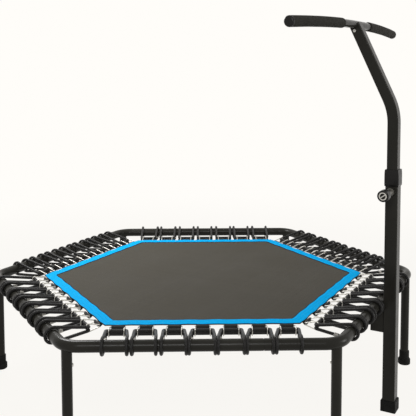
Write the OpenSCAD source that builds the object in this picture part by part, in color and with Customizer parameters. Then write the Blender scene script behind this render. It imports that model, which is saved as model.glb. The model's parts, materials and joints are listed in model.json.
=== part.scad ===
// Hexagonal mini trampoline with bungee suspension and a height-adjustable handlebar.
// Millimetres, +Z up. The post stands on the +X side; sides and corners count anticlockwise from it.

/* [Frame] */
// Distance from the middle of the mat to each leg
corner_r = 620; // [580:1:680]
// Outside diameter of the frame tube
tube_d = 28; // [24:0.5:34]
// Wall of the frame tube
tube_wall = 1.5; // [1.2:0.1:2.5]
// Centre-line radius of the corner bends
bend_r = 60; // [50:1:100]
// Height of the frame tube's centre line above the floor
tube_z = 286; // [240:1:340]
// Distance of each tube joint from the middle of its side
joint_u = 140; // [120:1:180]
// Gap left between the two tube ends at a joint
joint_gap = 1.5; // [0.5:0.1:3]
// Length of the reduced tube end inside each joint
spigot_len = 55; // [30:1:80]

/* [Legs] */
// Outside diameter of a leg
leg_d = 25; // [20:0.5:28]
// Wall of a leg
leg_wall = 1.5; // [1.2:0.1:2.5]
// Length of the welded stub between the frame tube and a leg
stub_len = 8; // [5:0.5:20]
// Length of the stub's spigot inside a leg
socket_len = 60; // [40:1:90]
// Largest diameter of a rubber foot
foot_d = 37; // [34:0.5:44]
// Diameter of a rubber foot's sleeve
foot_sleeve_d = 30; // [28.5:0.5:32]
// Height of a rubber foot
foot_h = 42; // [30:1:60]
// Height of a rubber foot's wide part
foot_flare_h = 18; // [10:1:24]
// Rubber under the end of a leg
foot_floor = 6; // [4:0.5:10]
// Shank diameter of a leg bolt
leg_bolt_d = 6; // [5:0.5:8]
// Head diameter of a leg bolt
leg_bolt_head_d = 11; // [10:0.5:14]

/* [Mat] */
// Distance from the middle of the mat to its corners
mat_r = 484; // [460:1:500]
// Thickness of the mat
mat_t = 2; // [1.5:0.1:4]
// Width of the border webbing
band_w = 33; // [20:0.5:45]
// Thickness of the border webbing
band_t = 1.6; // [1:0.1:3]

/* [Rings and cords] */
// Rings on each side of the mat
rings_per_side = 7; // [3:1:7]
// Distance between rings along a side
ring_pitch = 69; // [66:0.5:70]
// Distance between the two eyes of a ring
eye_gap = 37; // [36:0.5:39]
// Wire diameter of a ring
wire_d = 3; // [2:0.1:3.5]
// How far the rings hang below the middle of the mat's thickness
ring_drop = 4; // [2:0.1:4.4]
// Height between a ring's two inner bars
bar_gap = 4.4; // [4:0.1:6]
// Distance from the mat's edge to a ring's inner bars
bar_out = 4; // [3.6:0.1:8]
// Distance from a ring's inner bars to the cords in its eyes
eye_reach = 30; // [22:0.5:36]
// Diameter of a bungee cord
cord_d = 8; // [6:0.1:8.5]
// Distance between a cord's two turns round the frame tube
turn_gap = 57; // [56:0.5:59]
// The same distance on the two sides where the turns lie evenly spread
even_turn_gap = 40; // [34:0.5:46]
// Centre-line radius of a cord's bend outside an eye
cord_bend_r = 5; // [5:0.1:8]
// Length of the clip that closes a cord
clip_len = 12; // [8:0.5:20]
// Wall of a cord clip
clip_wall = 0.9; // [0.6:0.1:1.5]
// Place of a clip along the lower run of its cord, from the ring to the frame tube
clip_place = 0.62; // [0.4:0.01:0.7]
// The same place on the side at the front, where the clips sit close to the rings
front_clip_place = 0.34; // [0.3:0.01:0.5]
// Width of a webbing tab
tab_w = 33; // [24:0.5:33.4]
// Thickness of a webbing tab
tab_t = 1.5; // [1:0.1:2]
// Length of a webbing tab sewn under the mat
tab_tail = 26; // [15:0.5:40]

/* [Post] */
// Width of the square lower post
post_w = 33.5; // [32:0.5:36]
// Wall of the lower post
post_wall = 1.75; // [1.5:0.05:2]
// Corner radius of the posts
post_corner_r = 3; // [2:0.1:4]
// Height of the lower post's upper end
post_top = 648; // [600:1:700]
// Gap between the frame tube and the lower post
post_gap = 2; // [1:0.1:8]
// Height of the rubber cap under the post
post_foot_h = 30; // [20:1:50]
// Wall of the rubber cap
post_foot_wall = 3.5; // [2.5:0.1:6]
// Rubber under the post
post_foot_floor = 4; // [3:0.5:10]
// Height of the collar on top of the lower post
collar_h = 44; // [30:1:60]
// Widest wall of the collar round the lower post
collar_wall = 2.4; // [2:0.1:6]
// Collar lip above the lower post
collar_lip = 3; // [2:0.1:6]

/* [Bracket] */
// Length of the bracket under the frame tube
bracket_l = 34; // [32:0.5:45]
// Height of the bracket below the frame tube
bracket_drop = 58; // [40:1:80]
// Plate of the bracket
bracket_plate = 3; // [2:0.1:5]
// How far the frame tube sits into the bracket
saddle_depth = 4; // [2:0.1:6]
// Shank diameter of the bracket bolts
bracket_bolt_d = 6; // [5:0.5:8]
// Distance between the bracket bolts
bracket_bolt_gap = 14; // [12:0.5:15]

/* [Upper post] */
// Width of the square upper post
upper_w = 28.5; // [27:0.1:28.7]
// Wall of the upper post
upper_wall = 1.5; // [1.2:0.1:2]
// Height of the upper post's lower end at the lowest setting
upper_bottom = 340; // [320:1:360]
// Height at which the upper post leans over
lean_z = 805; // [780:1:850]
// Angle of the leaning stretch from upright
lean = 25.5; // [15:0.5:35]
// Centre-line radius of the upper post's bend
lean_r = 150; // [100:1:200]
// Height of the middle of the handlebar
bar_z = 1031; // [980:1:1100]
// How far the handlebar can be raised
height_travel = 200; // [100:10:200]
// Distance between height settings
height_step = 50; // [25:5:50]
// Length of the plastic glide at the upper post's lower end
glide_h = 30; // [20:1:40]

/* [Handlebar] */
// Straight distance between the handlebar's ends
handle_w = 826; // [700:1:900]
// Outside diameter of the handlebar
bar_d = 21; // [19:0.5:24]
// Wall of the handlebar
bar_wall = 1.5; // [1.2:0.1:2.5]
// How far the handlebar's ends sweep back and down
bar_sag = 19; // [5:0.5:40]
// Angle of that sweep below level
sag_angle = 40; // [0:1:60]
// Distance between the grips
grip_gap = 216; // [120:1:300]
// Outside diameter of a foam grip
grip_d = 26; // [25:0.5:32]
// Length of the handlebar's stub inside the upper post
bar_stub_l = 40; // [30:1:60]
// Thickness of a grip's end cap
cap_t = 6; // [4:0.5:10]
// Head diameter of the handlebar screw
screw_head_d = 8; // [6:0.5:10]

/* [Lock pin] */
// Distance of the lock pin below the lower post's upper end
pin_drop = 54; // [54:1:80]
// Diameter of the lock pin's nose
pin_d = 6.6; // [5:0.1:7]
// Depth of the seated nose inside the upper post
pin_reach = 2.5; // [2:0.1:6]
// How far the knob pulls out from its seat
pin_pull = 8; // [7:0.5:9]
// Width across flats of the weld nut
nut_af = 22; // [20:0.5:24]
// Height of the weld nut
nut_h = 7; // [5:0.5:10]
// Outside diameter of the pin's barrel
barrel_d = 16; // [15:0.1:17]
// Length of the pin's barrel
barrel_l = 46; // [34:0.5:48]
// Knob diameter
knob_d = 30; // [28:0.5:36]
// Knob length
knob_l = 24; // [20:0.5:40]
// Gap between the barrel and the seated knob
knob_gap = 1; // [0.5:0.1:3]
// Turns of the lock spring
spring_turns = 6; // [4:1:7]

/* [Clearances] */
// Clearance of parts that are pushed together
fit_gap = 0.1; // [0.05:0.01:0.15]
// Clearance of parts that slide
slide_gap = 0.3; // [0.2:0.05:0.4]

/* [Hidden] */
$fn = 48;
eps = 1;
wire_sides = 6;
wire_swell = 1.05;
weld_t = 0.05;
weld_l = 2;
frame_black = [0.17, 0.165, 0.15];
rubber_black = [0.1, 0.1, 0.1];
plated = [0.75, 0.75, 0.73];

// Frame derived sizes
apothem = (corner_r - bend_r) * cos(30) + bend_r;
straight_half = (corner_r - bend_r) * sin(30);
tube_r = tube_d / 2;
tube_in_r = tube_r - tube_wall;
spigot_r = tube_in_r - fit_gap;
leg_r = leg_d / 2;
leg_top = tube_z - tube_r - stub_len;
leg_spigot_r = leg_r - leg_wall - fit_gap;
leg_bolt_z = leg_top - socket_len / 2;
leg_bolt_head_h = leg_bolt_head_d * 0.4;

// Mat, ring and cord derived sizes, in a side's own frame: X outwards, Y along the side
mat_apothem = mat_r * cos(30);
wire_r = wire_d / 2;
cord_r = cord_d / 2;
bar_x = mat_apothem + bar_out;
eye_x = bar_x + eye_reach;
run_z = cord_r + slide_gap / 2;
eye_r = cord_r + slide_gap + wire_r;
bundle_to_tube = apothem - eye_x;
side_turn_gap = [turn_gap, even_turn_gap, turn_gap, even_turn_gap, turn_gap, turn_gap];
bight_r = tube_r + slide_gap + cord_r + 0.2;
exit_y = eye_gap / 2 + wire_r + slide_gap;

// Post derived sizes
post_in_w = post_w - 2 * post_wall;
post_x = apothem + tube_r + post_gap + post_w / 2;
post_foot_w = post_w + 2 * (fit_gap + post_foot_wall);
cord_out = apothem + bight_r + cord_r;
shift_x = (cord_out - post_x - post_foot_w / 2) / 2;
collar_top = post_top + collar_lip;
collar_w = post_w + 2 * (fit_gap + collar_wall);
bracket_top = tube_z - tube_r + saddle_depth;
bracket_bottom = tube_z - tube_r - bracket_drop;
bracket_x = post_x - post_w / 2 - bracket_l;

// Upper post and handlebar derived sizes
bend_start_z = lean_z - lean_r * tan(lean / 2);
lean_len = (bar_z - lean_z) / cos(lean) - lean_r * tan(lean / 2);
bar_x_mid = post_x - (bar_z - lean_z) * tan(lean);
bar_r = bar_d / 2;
upper_corner_r = post_corner_r - 2 * slide_gap;
upper_in_r = upper_corner_r - upper_wall + 0.5;
sweep_r = (pow(handle_w / 2, 2) + pow(bar_sag, 2)) / (2 * bar_sag);
grip_start = asin(grip_gap / 2 / sweep_r);
cap_angle = asin((handle_w / 2 - cap_t) / sweep_r);

// Lock pin derived sizes with the pin seated, measured outwards from the face of the lower post
pin_z = post_top - pin_drop;
pin_tip = -(post_w - upper_w) / 2 - upper_wall - pin_reach;
nose_bore_r = pin_d / 2 + slide_gap;
chamber_start = 4;
chamber_r = barrel_d / 2 - 2.4;
chamber_end = barrel_l - 4;
shaft_r = pin_d / 2 - 0.8;
flange_start = chamber_start + slide_gap;
flange_t = 2;
flange_r = chamber_r - slide_gap;
spring_wire_r = 0.6;
spring_r = chamber_r - slide_gap - spring_wire_r - 0.2;
spring_start = flange_start + pin_pull + flange_t + slide_gap;
spring_end = chamber_end - slide_gap;
knob_start = barrel_l + knob_gap;
knob_end = knob_start + knob_l;
ring_d = knob_d * 0.67;
ring_depth = 3;
shaft_end = knob_end - 8;

// Places
module side(k) { translate([shift_x, 0, 0]) rotate([0, 0, 60 * (k - 1)]) children(); }
module corner(k) { translate([shift_x, 0, 0]) rotate([0, 0, 60 * (k - 1) + 30]) children(); }
module each_ring() {
    for (i = [0 : rings_per_side - 1]) {
        translate([0, (i - (rings_per_side - 1) / 2) * ring_pitch, tube_z]) children();
    }
}
module at_post() { translate([shift_x + post_x, 0, 0]) children(); }
module at_pin() { at_post() translate([0, -post_w / 2, pin_z]) rotate([90, 0, 0]) children(); }
module at_drawn_pin() { at_pin() translate([0, 0, pin_pull]) children(); }
module at_bar() { translate([shift_x + bar_x_mid, 0, bar_z]) children(); }
module along_y(p) { translate(p) rotate([-90, 0, 0]) children(); }

// Basic shapes
function unit(v) = v / norm(v);
module rod(a, b, r) {
    d = b - a;
    tilt = acos(d.z / norm(d));
    translate(a) rotate([0, tilt, atan2(d.y, d.x)]) cylinder(r = r, h = norm(d));
}
function way(path, i) = let (n = len(path)) unit(path[(i + 1) % n] - path[(i + n) % n]);
function carried(f, d1, d2) = f - (d1 + d2) * ((f * d2) / (1 + d1 * d2));
function frames(path, i, f) = i == len(path) ? []
    : concat([f], frames(path, i + 1, carried(f, way(path, i), way(path, i + 1))));
function ring_point(p, o, d1, d2) = let (m = unit(d1 + d2)) p + o - d2 * ((o * m) / (d2 * m));
module closed_wire(path, r, first) {
    n = len(path);
    f = frames(path, 0, first);
    back = carried(f[n - 1], way(path, n - 1), way(path, 0));
    turn = atan2(back * cross(way(path, 0), first), back * first);
    shift = round(turn * wire_sides / 360);
    points = [for (i = [0 : n - 1], j = [0 : wire_sides - 1])
        let (d = way(path, i), b = j * 360 / wire_sides, o = r * (cos(b) * f[i] + sin(b) * cross(d, f[i])))
        ring_point(path[i], o, way(path, i - 1 + n), d)];
    function at(i, j) = i < n ? i * wire_sides + j % wire_sides
        : (j + shift + wire_sides) % wire_sides;
    skin = [for (i = [0 : n - 1], j = [0 : wire_sides - 1], half = [0, 1]) half == 0
        ? [at(i, j), at(i + 1, j + 1), at(i + 1, j)]
        : [at(i, j), at(i, j + 1), at(i + 1, j + 1)]];
    polyhedron(points = points, faces = skin);
}
module rounded_square(w, r) {
    square([w - 2 * r, w], center = true);
    square([w, w - 2 * r], center = true);
    for (x = [-1, 1], y = [-1, 1]) translate([x, y] * (w / 2 - r)) circle(r = r);
}
module square_tube_bar(w, h, r) { linear_extrude(h) rounded_square(w, r); }

// Frame
module section_run(k, r, short_end, long_end) {
    corner(k) translate([corner_r - bend_r, 0, tube_z]) rotate([0, 0, -30])
        rotate_extrude(angle = 60) translate([bend_r, 0]) circle(r = r);
    side(k) along_y([apothem, short_end, tube_z]) cylinder(r = r, h = straight_half - short_end);
    side(k + 1) along_y([apothem, -straight_half, tube_z]) cylinder(r = r, h = straight_half + long_end);
}
module weld_ring() {
    difference() {
        cylinder(r = tube_r + weld_t, h = weld_l, center = true);
        cylinder(r = tube_in_r - weld_t, h = weld_l + eps, center = true);
    }
}
module frame_section(k) {
    color(frame_black) difference() {
        union() {
            difference() {
                union() {
                    section_run(k, tube_r, joint_u + joint_gap, joint_u);
                    side(k + 1) along_y([apothem, joint_u - tube_wall, tube_z])
                        cylinder(r = spigot_r, h = spigot_len + tube_wall);
                    corner(k) translate([corner_r, 0, leg_top]) cylinder(r = leg_r, h = stub_len + tube_r);
                    corner(k) translate([corner_r, 0, leg_top - socket_len])
                        cylinder(r = leg_spigot_r, h = socket_len + eps);
                }
                section_run(k, tube_in_r, joint_u + joint_gap - eps, joint_u - tube_wall);
            }
            side(k) along_y([apothem, straight_half, tube_z]) weld_ring();
            side(k + 1) along_y([apothem, -straight_half, tube_z]) weld_ring();
        }
        side(k + 1) along_y([apothem, joint_u - 2 * tube_wall, tube_z])
            cylinder(r = spigot_r - tube_wall, h = spigot_len + 2 * tube_wall + eps);
        corner(k) translate([corner_r, 0, leg_top - socket_len - eps])
            cylinder(r = leg_spigot_r - leg_wall, h = socket_len + eps);
        corner(k) leg_bolt_hole();
        if (k == 6) bracket_bolt_holes();
    }
}
module leg_bolt_hole() {
    translate([corner_r, 0, leg_bolt_z]) rotate([0, -90, 0])
        cylinder(r = leg_bolt_d / 2 + fit_gap, h = leg_d);
}
module leg(k) {
    color(frame_black) corner(k) difference() {
        translate([corner_r, 0, foot_floor]) cylinder(r = leg_r, h = leg_top - foot_floor);
        translate([corner_r, 0, foot_floor - eps])
            cylinder(r = leg_r - leg_wall, h = leg_top - foot_floor + 2 * eps);
        leg_bolt_hole();
    }
}
module leg_foot(k) {
    r1 = foot_d / 2;
    r2 = foot_sleeve_d / 2;
    edge = 3;
    lip = 1.2;
    color(rubber_black) corner(k) translate([corner_r, 0, 0]) rotate_extrude() polygon([
        [0, 0], [r1 - edge, 0], [r1 - edge * 0.3, edge * 0.3], [r1, edge], [r1, foot_flare_h - edge],
        [r1 - edge * 0.3, foot_flare_h - edge * 0.3], [r1 - edge, foot_flare_h],
        [r2, foot_flare_h + lip], [r2, foot_h - lip], [r2 - lip, foot_h],
        [leg_r + fit_gap, foot_h], [leg_r + fit_gap, foot_floor], [0, foot_floor]]);
}
module leg_bolts() {
    color(plated) for (k = [1 : 6]) corner(k)
        translate([corner_r - leg_r - fit_gap, 0, leg_bolt_z]) rotate([0, 90, 0]) {
            cylinder(r = leg_bolt_d / 2, h = leg_r);
            difference() {
                translate([0, 0, -leg_bolt_head_h]) cylinder(r = leg_bolt_head_d / 2, h = leg_bolt_head_h);
                translate([0, 0, -leg_bolt_head_h - eps])
                    cylinder(r = leg_bolt_d * 0.4, h = leg_bolt_head_h / 2 + eps, $fn = 6);
            }
        }
}

// Post and bracket
module bracket_bolt_holes() {
    at_post() for (s = [-1, 1])
        translate([apothem - post_x, s * bracket_bolt_gap / 2, tube_z - tube_r - eps])
            cylinder(r = bracket_bolt_d / 2 + fit_gap, h = tube_r);
}
module post_bracket() {
    inner_w = post_w - 2 * bracket_plate;
    color(frame_black) difference() {
        translate([shift_x + bracket_x, -post_w / 2, bracket_bottom])
            cube([bracket_l, post_w, bracket_top - bracket_bottom]);
        translate([shift_x + bracket_x + bracket_plate, -inner_w / 2, bracket_bottom - eps])
            cube([bracket_l, inner_w, bracket_drop - bracket_plate + eps]);
        side(1) along_y([apothem, -post_w, tube_z]) cylinder(r = tube_r + fit_gap, h = 2 * post_w);
        at_post() for (s = [-1, 1])
            translate([apothem - post_x, s * bracket_bolt_gap / 2, bracket_bottom])
                cylinder(r = bracket_bolt_d / 2 + fit_gap, h = bracket_drop + tube_r);
    }
}
module bracket_bolts() {
    head_h = bracket_bolt_d * 0.7;
    under = tube_z - tube_r - bracket_plate;
    color(plated) at_post() for (s = [-1, 1])
        translate([apothem - post_x, s * bracket_bolt_gap / 2, under - head_h]) {
            cylinder(r = bracket_bolt_d * 0.85, h = head_h, $fn = 6);
            cylinder(r = bracket_bolt_d / 2, h = head_h + bracket_plate + tube_wall + bracket_bolt_d);
        }
}
module lower_post() {
    color(frame_black) difference() {
        at_post() translate([0, 0, post_foot_floor])
            square_tube_bar(post_w, post_top - post_foot_floor, post_corner_r);
        at_post() translate([0, 0, post_foot_floor - eps])
            square_tube_bar(post_in_w, post_top - post_foot_floor + 2 * eps, post_corner_r - post_wall + 0.5);
        at_pin() translate([0, 0, -post_wall - eps]) cylinder(r = nose_bore_r, h = post_wall + 2 * eps);
    }
}
module post_foot() {
    chamfer = 2.5;
    half = post_foot_w / 2;
    profile = [[-half, 0], [half, 0], [half, post_foot_h - chamfer], [half - chamfer, post_foot_h],
        [chamfer - half, post_foot_h], [-half, post_foot_h - chamfer]];
    color(rubber_black) at_post() difference() {
        intersection() {
            translate([0, half, 0]) rotate([90, 0, 0]) linear_extrude(post_foot_w) polygon(profile);
            rotate([0, 0, 90]) translate([0, half, 0]) rotate([90, 0, 0])
                linear_extrude(post_foot_w) polygon(profile);
            square_tube_bar(post_foot_w, post_foot_h, post_corner_r);
        }
        translate([0, 0, post_foot_floor])
            square_tube_bar(post_w + 2 * fit_gap, post_foot_h, post_corner_r + fit_gap);
    }
}
module post_collar() {
    half = collar_w / 2;
    low = 4.5;
    wide = 22;
    bulge = 0.3;
    edge = 1;
    neck = post_w / 2 + fit_gap + 0.8;
    top_half = upper_w / 2 + slide_gap + 2.2;
    base = collar_top - collar_h;
    shoulder = [[half, wide], [top_half + edge, collar_h - edge]];
    flank = concat([[neck, 0], [half, low], shoulder[0]], [(shoulder[0] + shoulder[1]) / 2 + [bulge, 0]],
        [shoulder[1], [top_half, collar_h]]);
    profile = concat(flank, [for (i = [len(flank) - 1 : -1 : 0]) [-flank[i].x, flank[i].y]]);
    color(rubber_black) at_post() translate([0, 0, base]) difference() {
        intersection() {
            translate([0, half, 0]) rotate([90, 0, 0]) linear_extrude(collar_w) polygon(profile);
            rotate([0, 0, 90]) translate([0, half, 0]) rotate([90, 0, 0])
                linear_extrude(collar_w) polygon(profile);
            square_tube_bar(collar_w, collar_h, post_corner_r + 1);
        }
        translate([0, 0, -eps])
            square_tube_bar(post_w + 2 * fit_gap, collar_h - collar_lip + eps, post_corner_r + fit_gap);
        translate([0, 0, -eps])
            square_tube_bar(upper_w + 2 * slide_gap, collar_h + 2 * eps, post_corner_r - slide_gap);
    }
}

// Mat, border and tabs
module jump_mat() {
    color([0.34, 0.33, 0.3]) translate([shift_x, 0, tube_z - mat_t / 2]) rotate([0, 0, 30])
        linear_extrude(mat_t) circle(r = mat_r, $fn = 6);
}
module border_webbing() {
    inner = mat_apothem - band_w;
    mitre = tan(30);
    color([0.05, 0.55, 0.9]) for (k = [1 : 6]) side(k) translate([0, 0, tube_z + mat_t / 2])
        linear_extrude(band_t) polygon([
            [inner, fit_gap - inner * mitre], [mat_apothem, fit_gap - mat_apothem * mitre],
            [mat_apothem, mat_apothem * mitre - fit_gap], [inner, inner * mitre - fit_gap]]);
}
module tab_loop_profile(r) {
    for (s = [-1, 1]) translate([0, s * bar_gap / 2]) circle(r = r);
    square([2 * r, bar_gap], center = true);
}
module webbing_tabs() {
    loop_in = wire_r + slide_gap;
    tail_in = mat_apothem - tab_tail - bar_x;
    color(rubber_black) for (k = [1 : 6]) side(k) each_ring()
        translate([bar_x, tab_w / 2, 0]) rotate([90, 0, 0]) linear_extrude(tab_w) difference() {
            union() {
                translate([0, -ring_drop]) tab_loop_profile(loop_in + tab_t);
                translate([tail_in, -mat_t / 2 - tab_t]) square([-tail_in, tab_t]);
            }
            translate([0, -ring_drop]) tab_loop_profile(loop_in);
        }
}

// Rings: a closed wire with two inner bars, and an eye at each end that goes round both runs of a cord
eye_rise = asin(eye_r / norm([eye_reach, run_z - bar_gap / 2])) + atan2(run_z - bar_gap / 2, eye_reach);
eye_turn = 90 + eye_rise;
eye_half = concat([[bar_x, bar_gap / 2]], [for (a = [0.75, 0.25] * eye_turn)
    [eye_x, run_z] + [cos(a), sin(a)] * eye_r / cos(eye_turn / 4)]);
eye_path = concat(eye_half, [for (i = [2 : -1 : 0]) [eye_half[i].x, -eye_half[i].y]]);
ring_path = concat(
    [for (p = eye_path) [p.x, eye_gap / 2, p.y]],
    [for (i = [5 : -1 : 0]) [eye_path[i].x, -eye_gap / 2, eye_path[i].y]]);
module ring() { closed_wire(ring_path, wire_r * wire_swell, [0, 1, 0]); }
module rings_side(k) { color(plated) side(k) each_ring() translate([0, 0, -ring_drop]) ring(); }

// Bungee cords: a closed loop with two runs through a ring and a turn round the tube at each end.
// The upper run has s = 1 and the lower one s = -1, and rise is its slope up to the tube, or down to it
corner_y = exit_y + cord_bend_r;
bend_cut = cord_bend_r * (1 - tan(22.5));
bight_steps = 4;
function plan(k) = [bundle_to_tube, side_turn_gap[k - 1] / 2 - corner_y];
function run_level(s) = run_z - s * ring_drop;
function strand_rise(k, s) =
    asin(bight_r / norm([norm(plan(k)), run_level(s)])) - atan2(run_level(s), norm(plan(k)));
function strand_len(k, s) = sqrt(pow(norm(plan(k)), 2) + pow(run_level(s), 2) - pow(bight_r, 2));
function strand_dir(k, s) =
    let (p = unit(plan(k)), a = strand_rise(k, s)) [p.x * cos(a), p.y * cos(a), s * sin(a)];
function cord_quarter(k, s) = [
    [eye_x, corner_y - bend_cut, s * run_level(s)],
    [eye_x, corner_y, s * run_level(s)] + strand_dir(k, s) * bend_cut];
function cord_turn(k) =
    let (p = unit(plan(k)), start = 90 + strand_rise(k, 1), turn = start + 90 + strand_rise(k, -1),
        r = bight_r / cos(turn / bight_steps / 2))
    [for (i = [0 : bight_steps - 1])
        let (a = start - turn * (i + 0.5) / bight_steps, d = norm(plan(k)) + r * cos(a))
        [eye_x + p.x * d, corner_y + p.y * d, r * sin(a)]];
function cord_end(k) = concat(cord_quarter(k, 1), cord_turn(k), [for (i = [1, 0]) cord_quarter(k, -1)[i]]);
function cord_path(k) = let (end = cord_end(k))
    concat(end, [for (i = [len(end) - 1 : -1 : 0]) [end[i].x, -end[i].y, end[i].z]]);
module bungee(path) { closed_wire(path, cord_r, unit(cross(way(path, 0), [0, 0, 1]))); }
module bungee_side(k) { color(rubber_black) side(k) each_ring() bungee(cord_path(k)); }
module cord_clip(k) {
    run = strand_dir(k, -1);
    low = [run.x, -run.y, run.z];
    mid = [eye_x, -corner_y, -run_level(-1)]
        + low * strand_len(k, -1) * (k == 6 ? front_clip_place : clip_place);
    difference() {
        rod(mid - low * clip_len / 2, mid + low * clip_len / 2, cord_r + fit_gap + clip_wall);
        rod(mid - low * clip_len, mid + low * clip_len, cord_r + fit_gap);
    }
}
module cord_clips() { color(plated) for (k = [1 : 6]) side(k) each_ring() cord_clip(k); }

// Upper post
module upper_run(w, r, low, top) {
    at_post() {
        translate([0, 0, low]) square_tube_bar(w, bend_start_z - low, r);
        translate([-lean_r, 0, bend_start_z]) rotate([90, 0, 0]) rotate_extrude(angle = lean)
            translate([lean_r, 0]) rounded_square(w, r);
        at_lean() square_tube_bar(w, top, r);
    }
}
module at_lean() {
    translate([lean_r * (cos(lean) - 1), 0, bend_start_z + lean_r * sin(lean)])
        rotate([0, -lean, 0]) children();
}
module weld_sleeve() {
    translate([0, 0, -weld_l / 2]) linear_extrude(weld_l) difference() {
        rounded_square(upper_w + 2 * weld_t, upper_corner_r + weld_t);
        rounded_square(upper_w - 2 * upper_wall - 2 * weld_t, upper_in_r - weld_t);
    }
}
module upper_post() {
    hole_d = pin_d + 4 * slide_gap;
    wall_y = -upper_w / 2 - eps;
    wall_cut = upper_wall + 2 * eps;
    color(frame_black) difference() {
        union() {
            difference() {
                upper_run(upper_w, upper_corner_r, upper_bottom, lean_len);
                upper_run(upper_w - 2 * upper_wall, upper_in_r, upper_bottom - eps, lean_len + eps);
            }
            at_post() translate([0, 0, bend_start_z]) weld_sleeve();
            at_post() at_lean() weld_sleeve();
        }
        at_bar() along_y([0, -upper_w, 0]) cylinder(r = bar_r + fit_gap, h = 2 * upper_w);
        for (lift = [0 : height_step : height_travel])
            at_post() along_y([0, wall_y, pin_z - lift]) cylinder(d = hole_d, h = wall_cut);
        screw_axis() cylinder(r = screw_head_d / 4 + fit_gap, h = wall_cut);
    }
}
module screw_axis() {
    at_bar() rotate([0, -lean, 0])
        translate([-upper_w * 0.18, -upper_w / 2 - eps, -bar_r - screw_head_d * 0.75])
            rotate([-90, 0, 0]) children();
}
module handlebar_screw() {
    head_h = screw_head_d * 0.35;
    color(plated) screw_axis() difference() {
        union() {
            translate([0, 0, eps - fit_gap - head_h]) cylinder(r = screw_head_d / 2, h = head_h);
            translate([0, 0, eps - fit_gap]) cylinder(r = screw_head_d / 4, h = 2 * screw_head_d);
        }
        translate([-screw_head_d, -0.6, -fit_gap - head_h])
            cube([2 * screw_head_d, 1.2, head_h / 2 + eps]);
    }
}
module post_glide() {
    rim = 4;
    inside = upper_w - 2 * upper_wall - 2 * fit_gap;
    glide_w = post_in_w - 2 * slide_gap;
    color(rubber_black) at_post() difference() {
        union() {
            translate([0, 0, upper_bottom - rim]) square_tube_bar(glide_w, rim, 1);
            translate([0, 0, upper_bottom - eps]) square_tube_bar(inside, glide_h + eps, 1);
        }
        translate([0, 0, upper_bottom - rim - eps]) square_tube_bar(inside - 6, glide_h + rim + 2 * eps, 1);
    }
}

// Handlebar
module swept(r, from, to) {
    at_bar() rotate([0, -sag_angle, 0]) translate([-sweep_r, 0, 0]) rotate([0, 0, from])
        rotate_extrude(angle = to - from, $fn = 1440) translate([sweep_r, 0]) circle(r = r, $fn = 48);
}
module handlebar() {
    stub_w = upper_w - 2 * upper_wall - 2 * fit_gap;
    color(frame_black) difference() {
        union() {
            swept(bar_r, -cap_angle, cap_angle);
            at_bar() rotate([0, -lean, 0]) translate([0, 0, -bar_stub_l])
                square_tube_bar(stub_w, bar_stub_l, 1);
        }
        swept(bar_r - bar_wall, -cap_angle - 0.1, cap_angle + 0.1);
        screw_axis() cylinder(r = screw_head_d / 4 + fit_gap, h = 3 * screw_head_d);
    }
}
module grip(s) {
    from = s > 0 ? grip_start : -cap_angle;
    to = s > 0 ? cap_angle : -grip_start;
    color(rubber_black) difference() {
        swept(grip_d / 2, from, to);
        swept(bar_r + fit_gap, from - 0.1, to + 0.1);
    }
}
module grip_cap(s) {
    plug_r = bar_r - bar_wall - fit_gap;
    plug_l = 15;
    round_r = cap_t - 1;
    rim_r = grip_d / 2;
    color(rubber_black) at_bar() rotate([0, -sag_angle, 0]) translate([-sweep_r, 0, 0])
        rotate([0, 0, s * cap_angle]) translate([sweep_r, 0, 0]) rotate([-s * 90, 0, 0]) {
            rotate_extrude() union() {
                square([rim_r - round_r, cap_t]);
                square([rim_r, cap_t - round_r]);
                intersection() {
                    translate([rim_r - round_r, cap_t - round_r]) circle(r = round_r);
                    square([rim_r, cap_t]);
                }
            }
            translate([0, 0, -plug_l]) cylinder(r = plug_r, h = plug_l);
        }
}

// Lock pin, drawn clear of the upper post, measured outwards from the face of the lower post
module weld_nut() {
    color(frame_black) at_pin() difference() {
        cylinder(r = nut_af / 2 / cos(30), h = nut_h, $fn = 6);
        translate([0, 0, -eps]) cylinder(r = barrel_d / 2 + fit_gap, h = nut_h + 2 * eps);
    }
}
module pin_barrel() {
    flange_at = nut_h + fit_gap;
    color(plated) at_pin() difference() {
        union() {
            translate([0, 0, fit_gap]) cylinder(r = barrel_d / 2, h = barrel_l - fit_gap);
            translate([0, 0, flange_at]) cylinder(r = barrel_d / 2 + 2, h = 4);
            translate([0, 0, barrel_l - 8]) cylinder(r = barrel_d / 2 + 1, h = 5);
        }
        cylinder(r = nose_bore_r, h = chamber_start + eps);
        translate([0, 0, chamber_start]) cylinder(r = chamber_r, h = chamber_end - chamber_start);
        translate([0, 0, chamber_end - eps])
            cylinder(r = shaft_r + slide_gap, h = barrel_l - chamber_end + 2 * eps);
    }
}
module lock_pin() {
    point = 1;
    color(plated) at_drawn_pin() {
        translate([0, 0, pin_tip]) cylinder(r1 = pin_d / 2 - point, r2 = pin_d / 2, h = point);
        translate([0, 0, pin_tip + point])
            cylinder(r = pin_d / 2, h = flange_start + flange_t - pin_tip - point);
        translate([0, 0, flange_start]) cylinder(r = flange_r, h = flange_t);
        translate([0, 0, flange_start]) cylinder(r = shaft_r, h = shaft_end - flange_start);
    }
}
module lock_knob() {
    round_r = 2.5;
    r = knob_d / 2;
    color(rubber_black) at_drawn_pin() difference() {
        translate([0, 0, knob_start]) rotate_extrude() union() {
            translate([0, round_r]) square([r, knob_l - 2 * round_r]);
            square([r - round_r, knob_l]);
            for (z = [round_r, knob_l - round_r]) translate([r - round_r, z]) circle(r = round_r);
        }
        translate([0, 0, knob_start - eps])
            cylinder(r = shaft_r + fit_gap, h = shaft_end + fit_gap - knob_start + eps);
        translate([0, 0, knob_end - ring_depth]) cylinder(d = ring_d + 2 * fit_gap, h = ring_depth + eps);
    }
}
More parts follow.
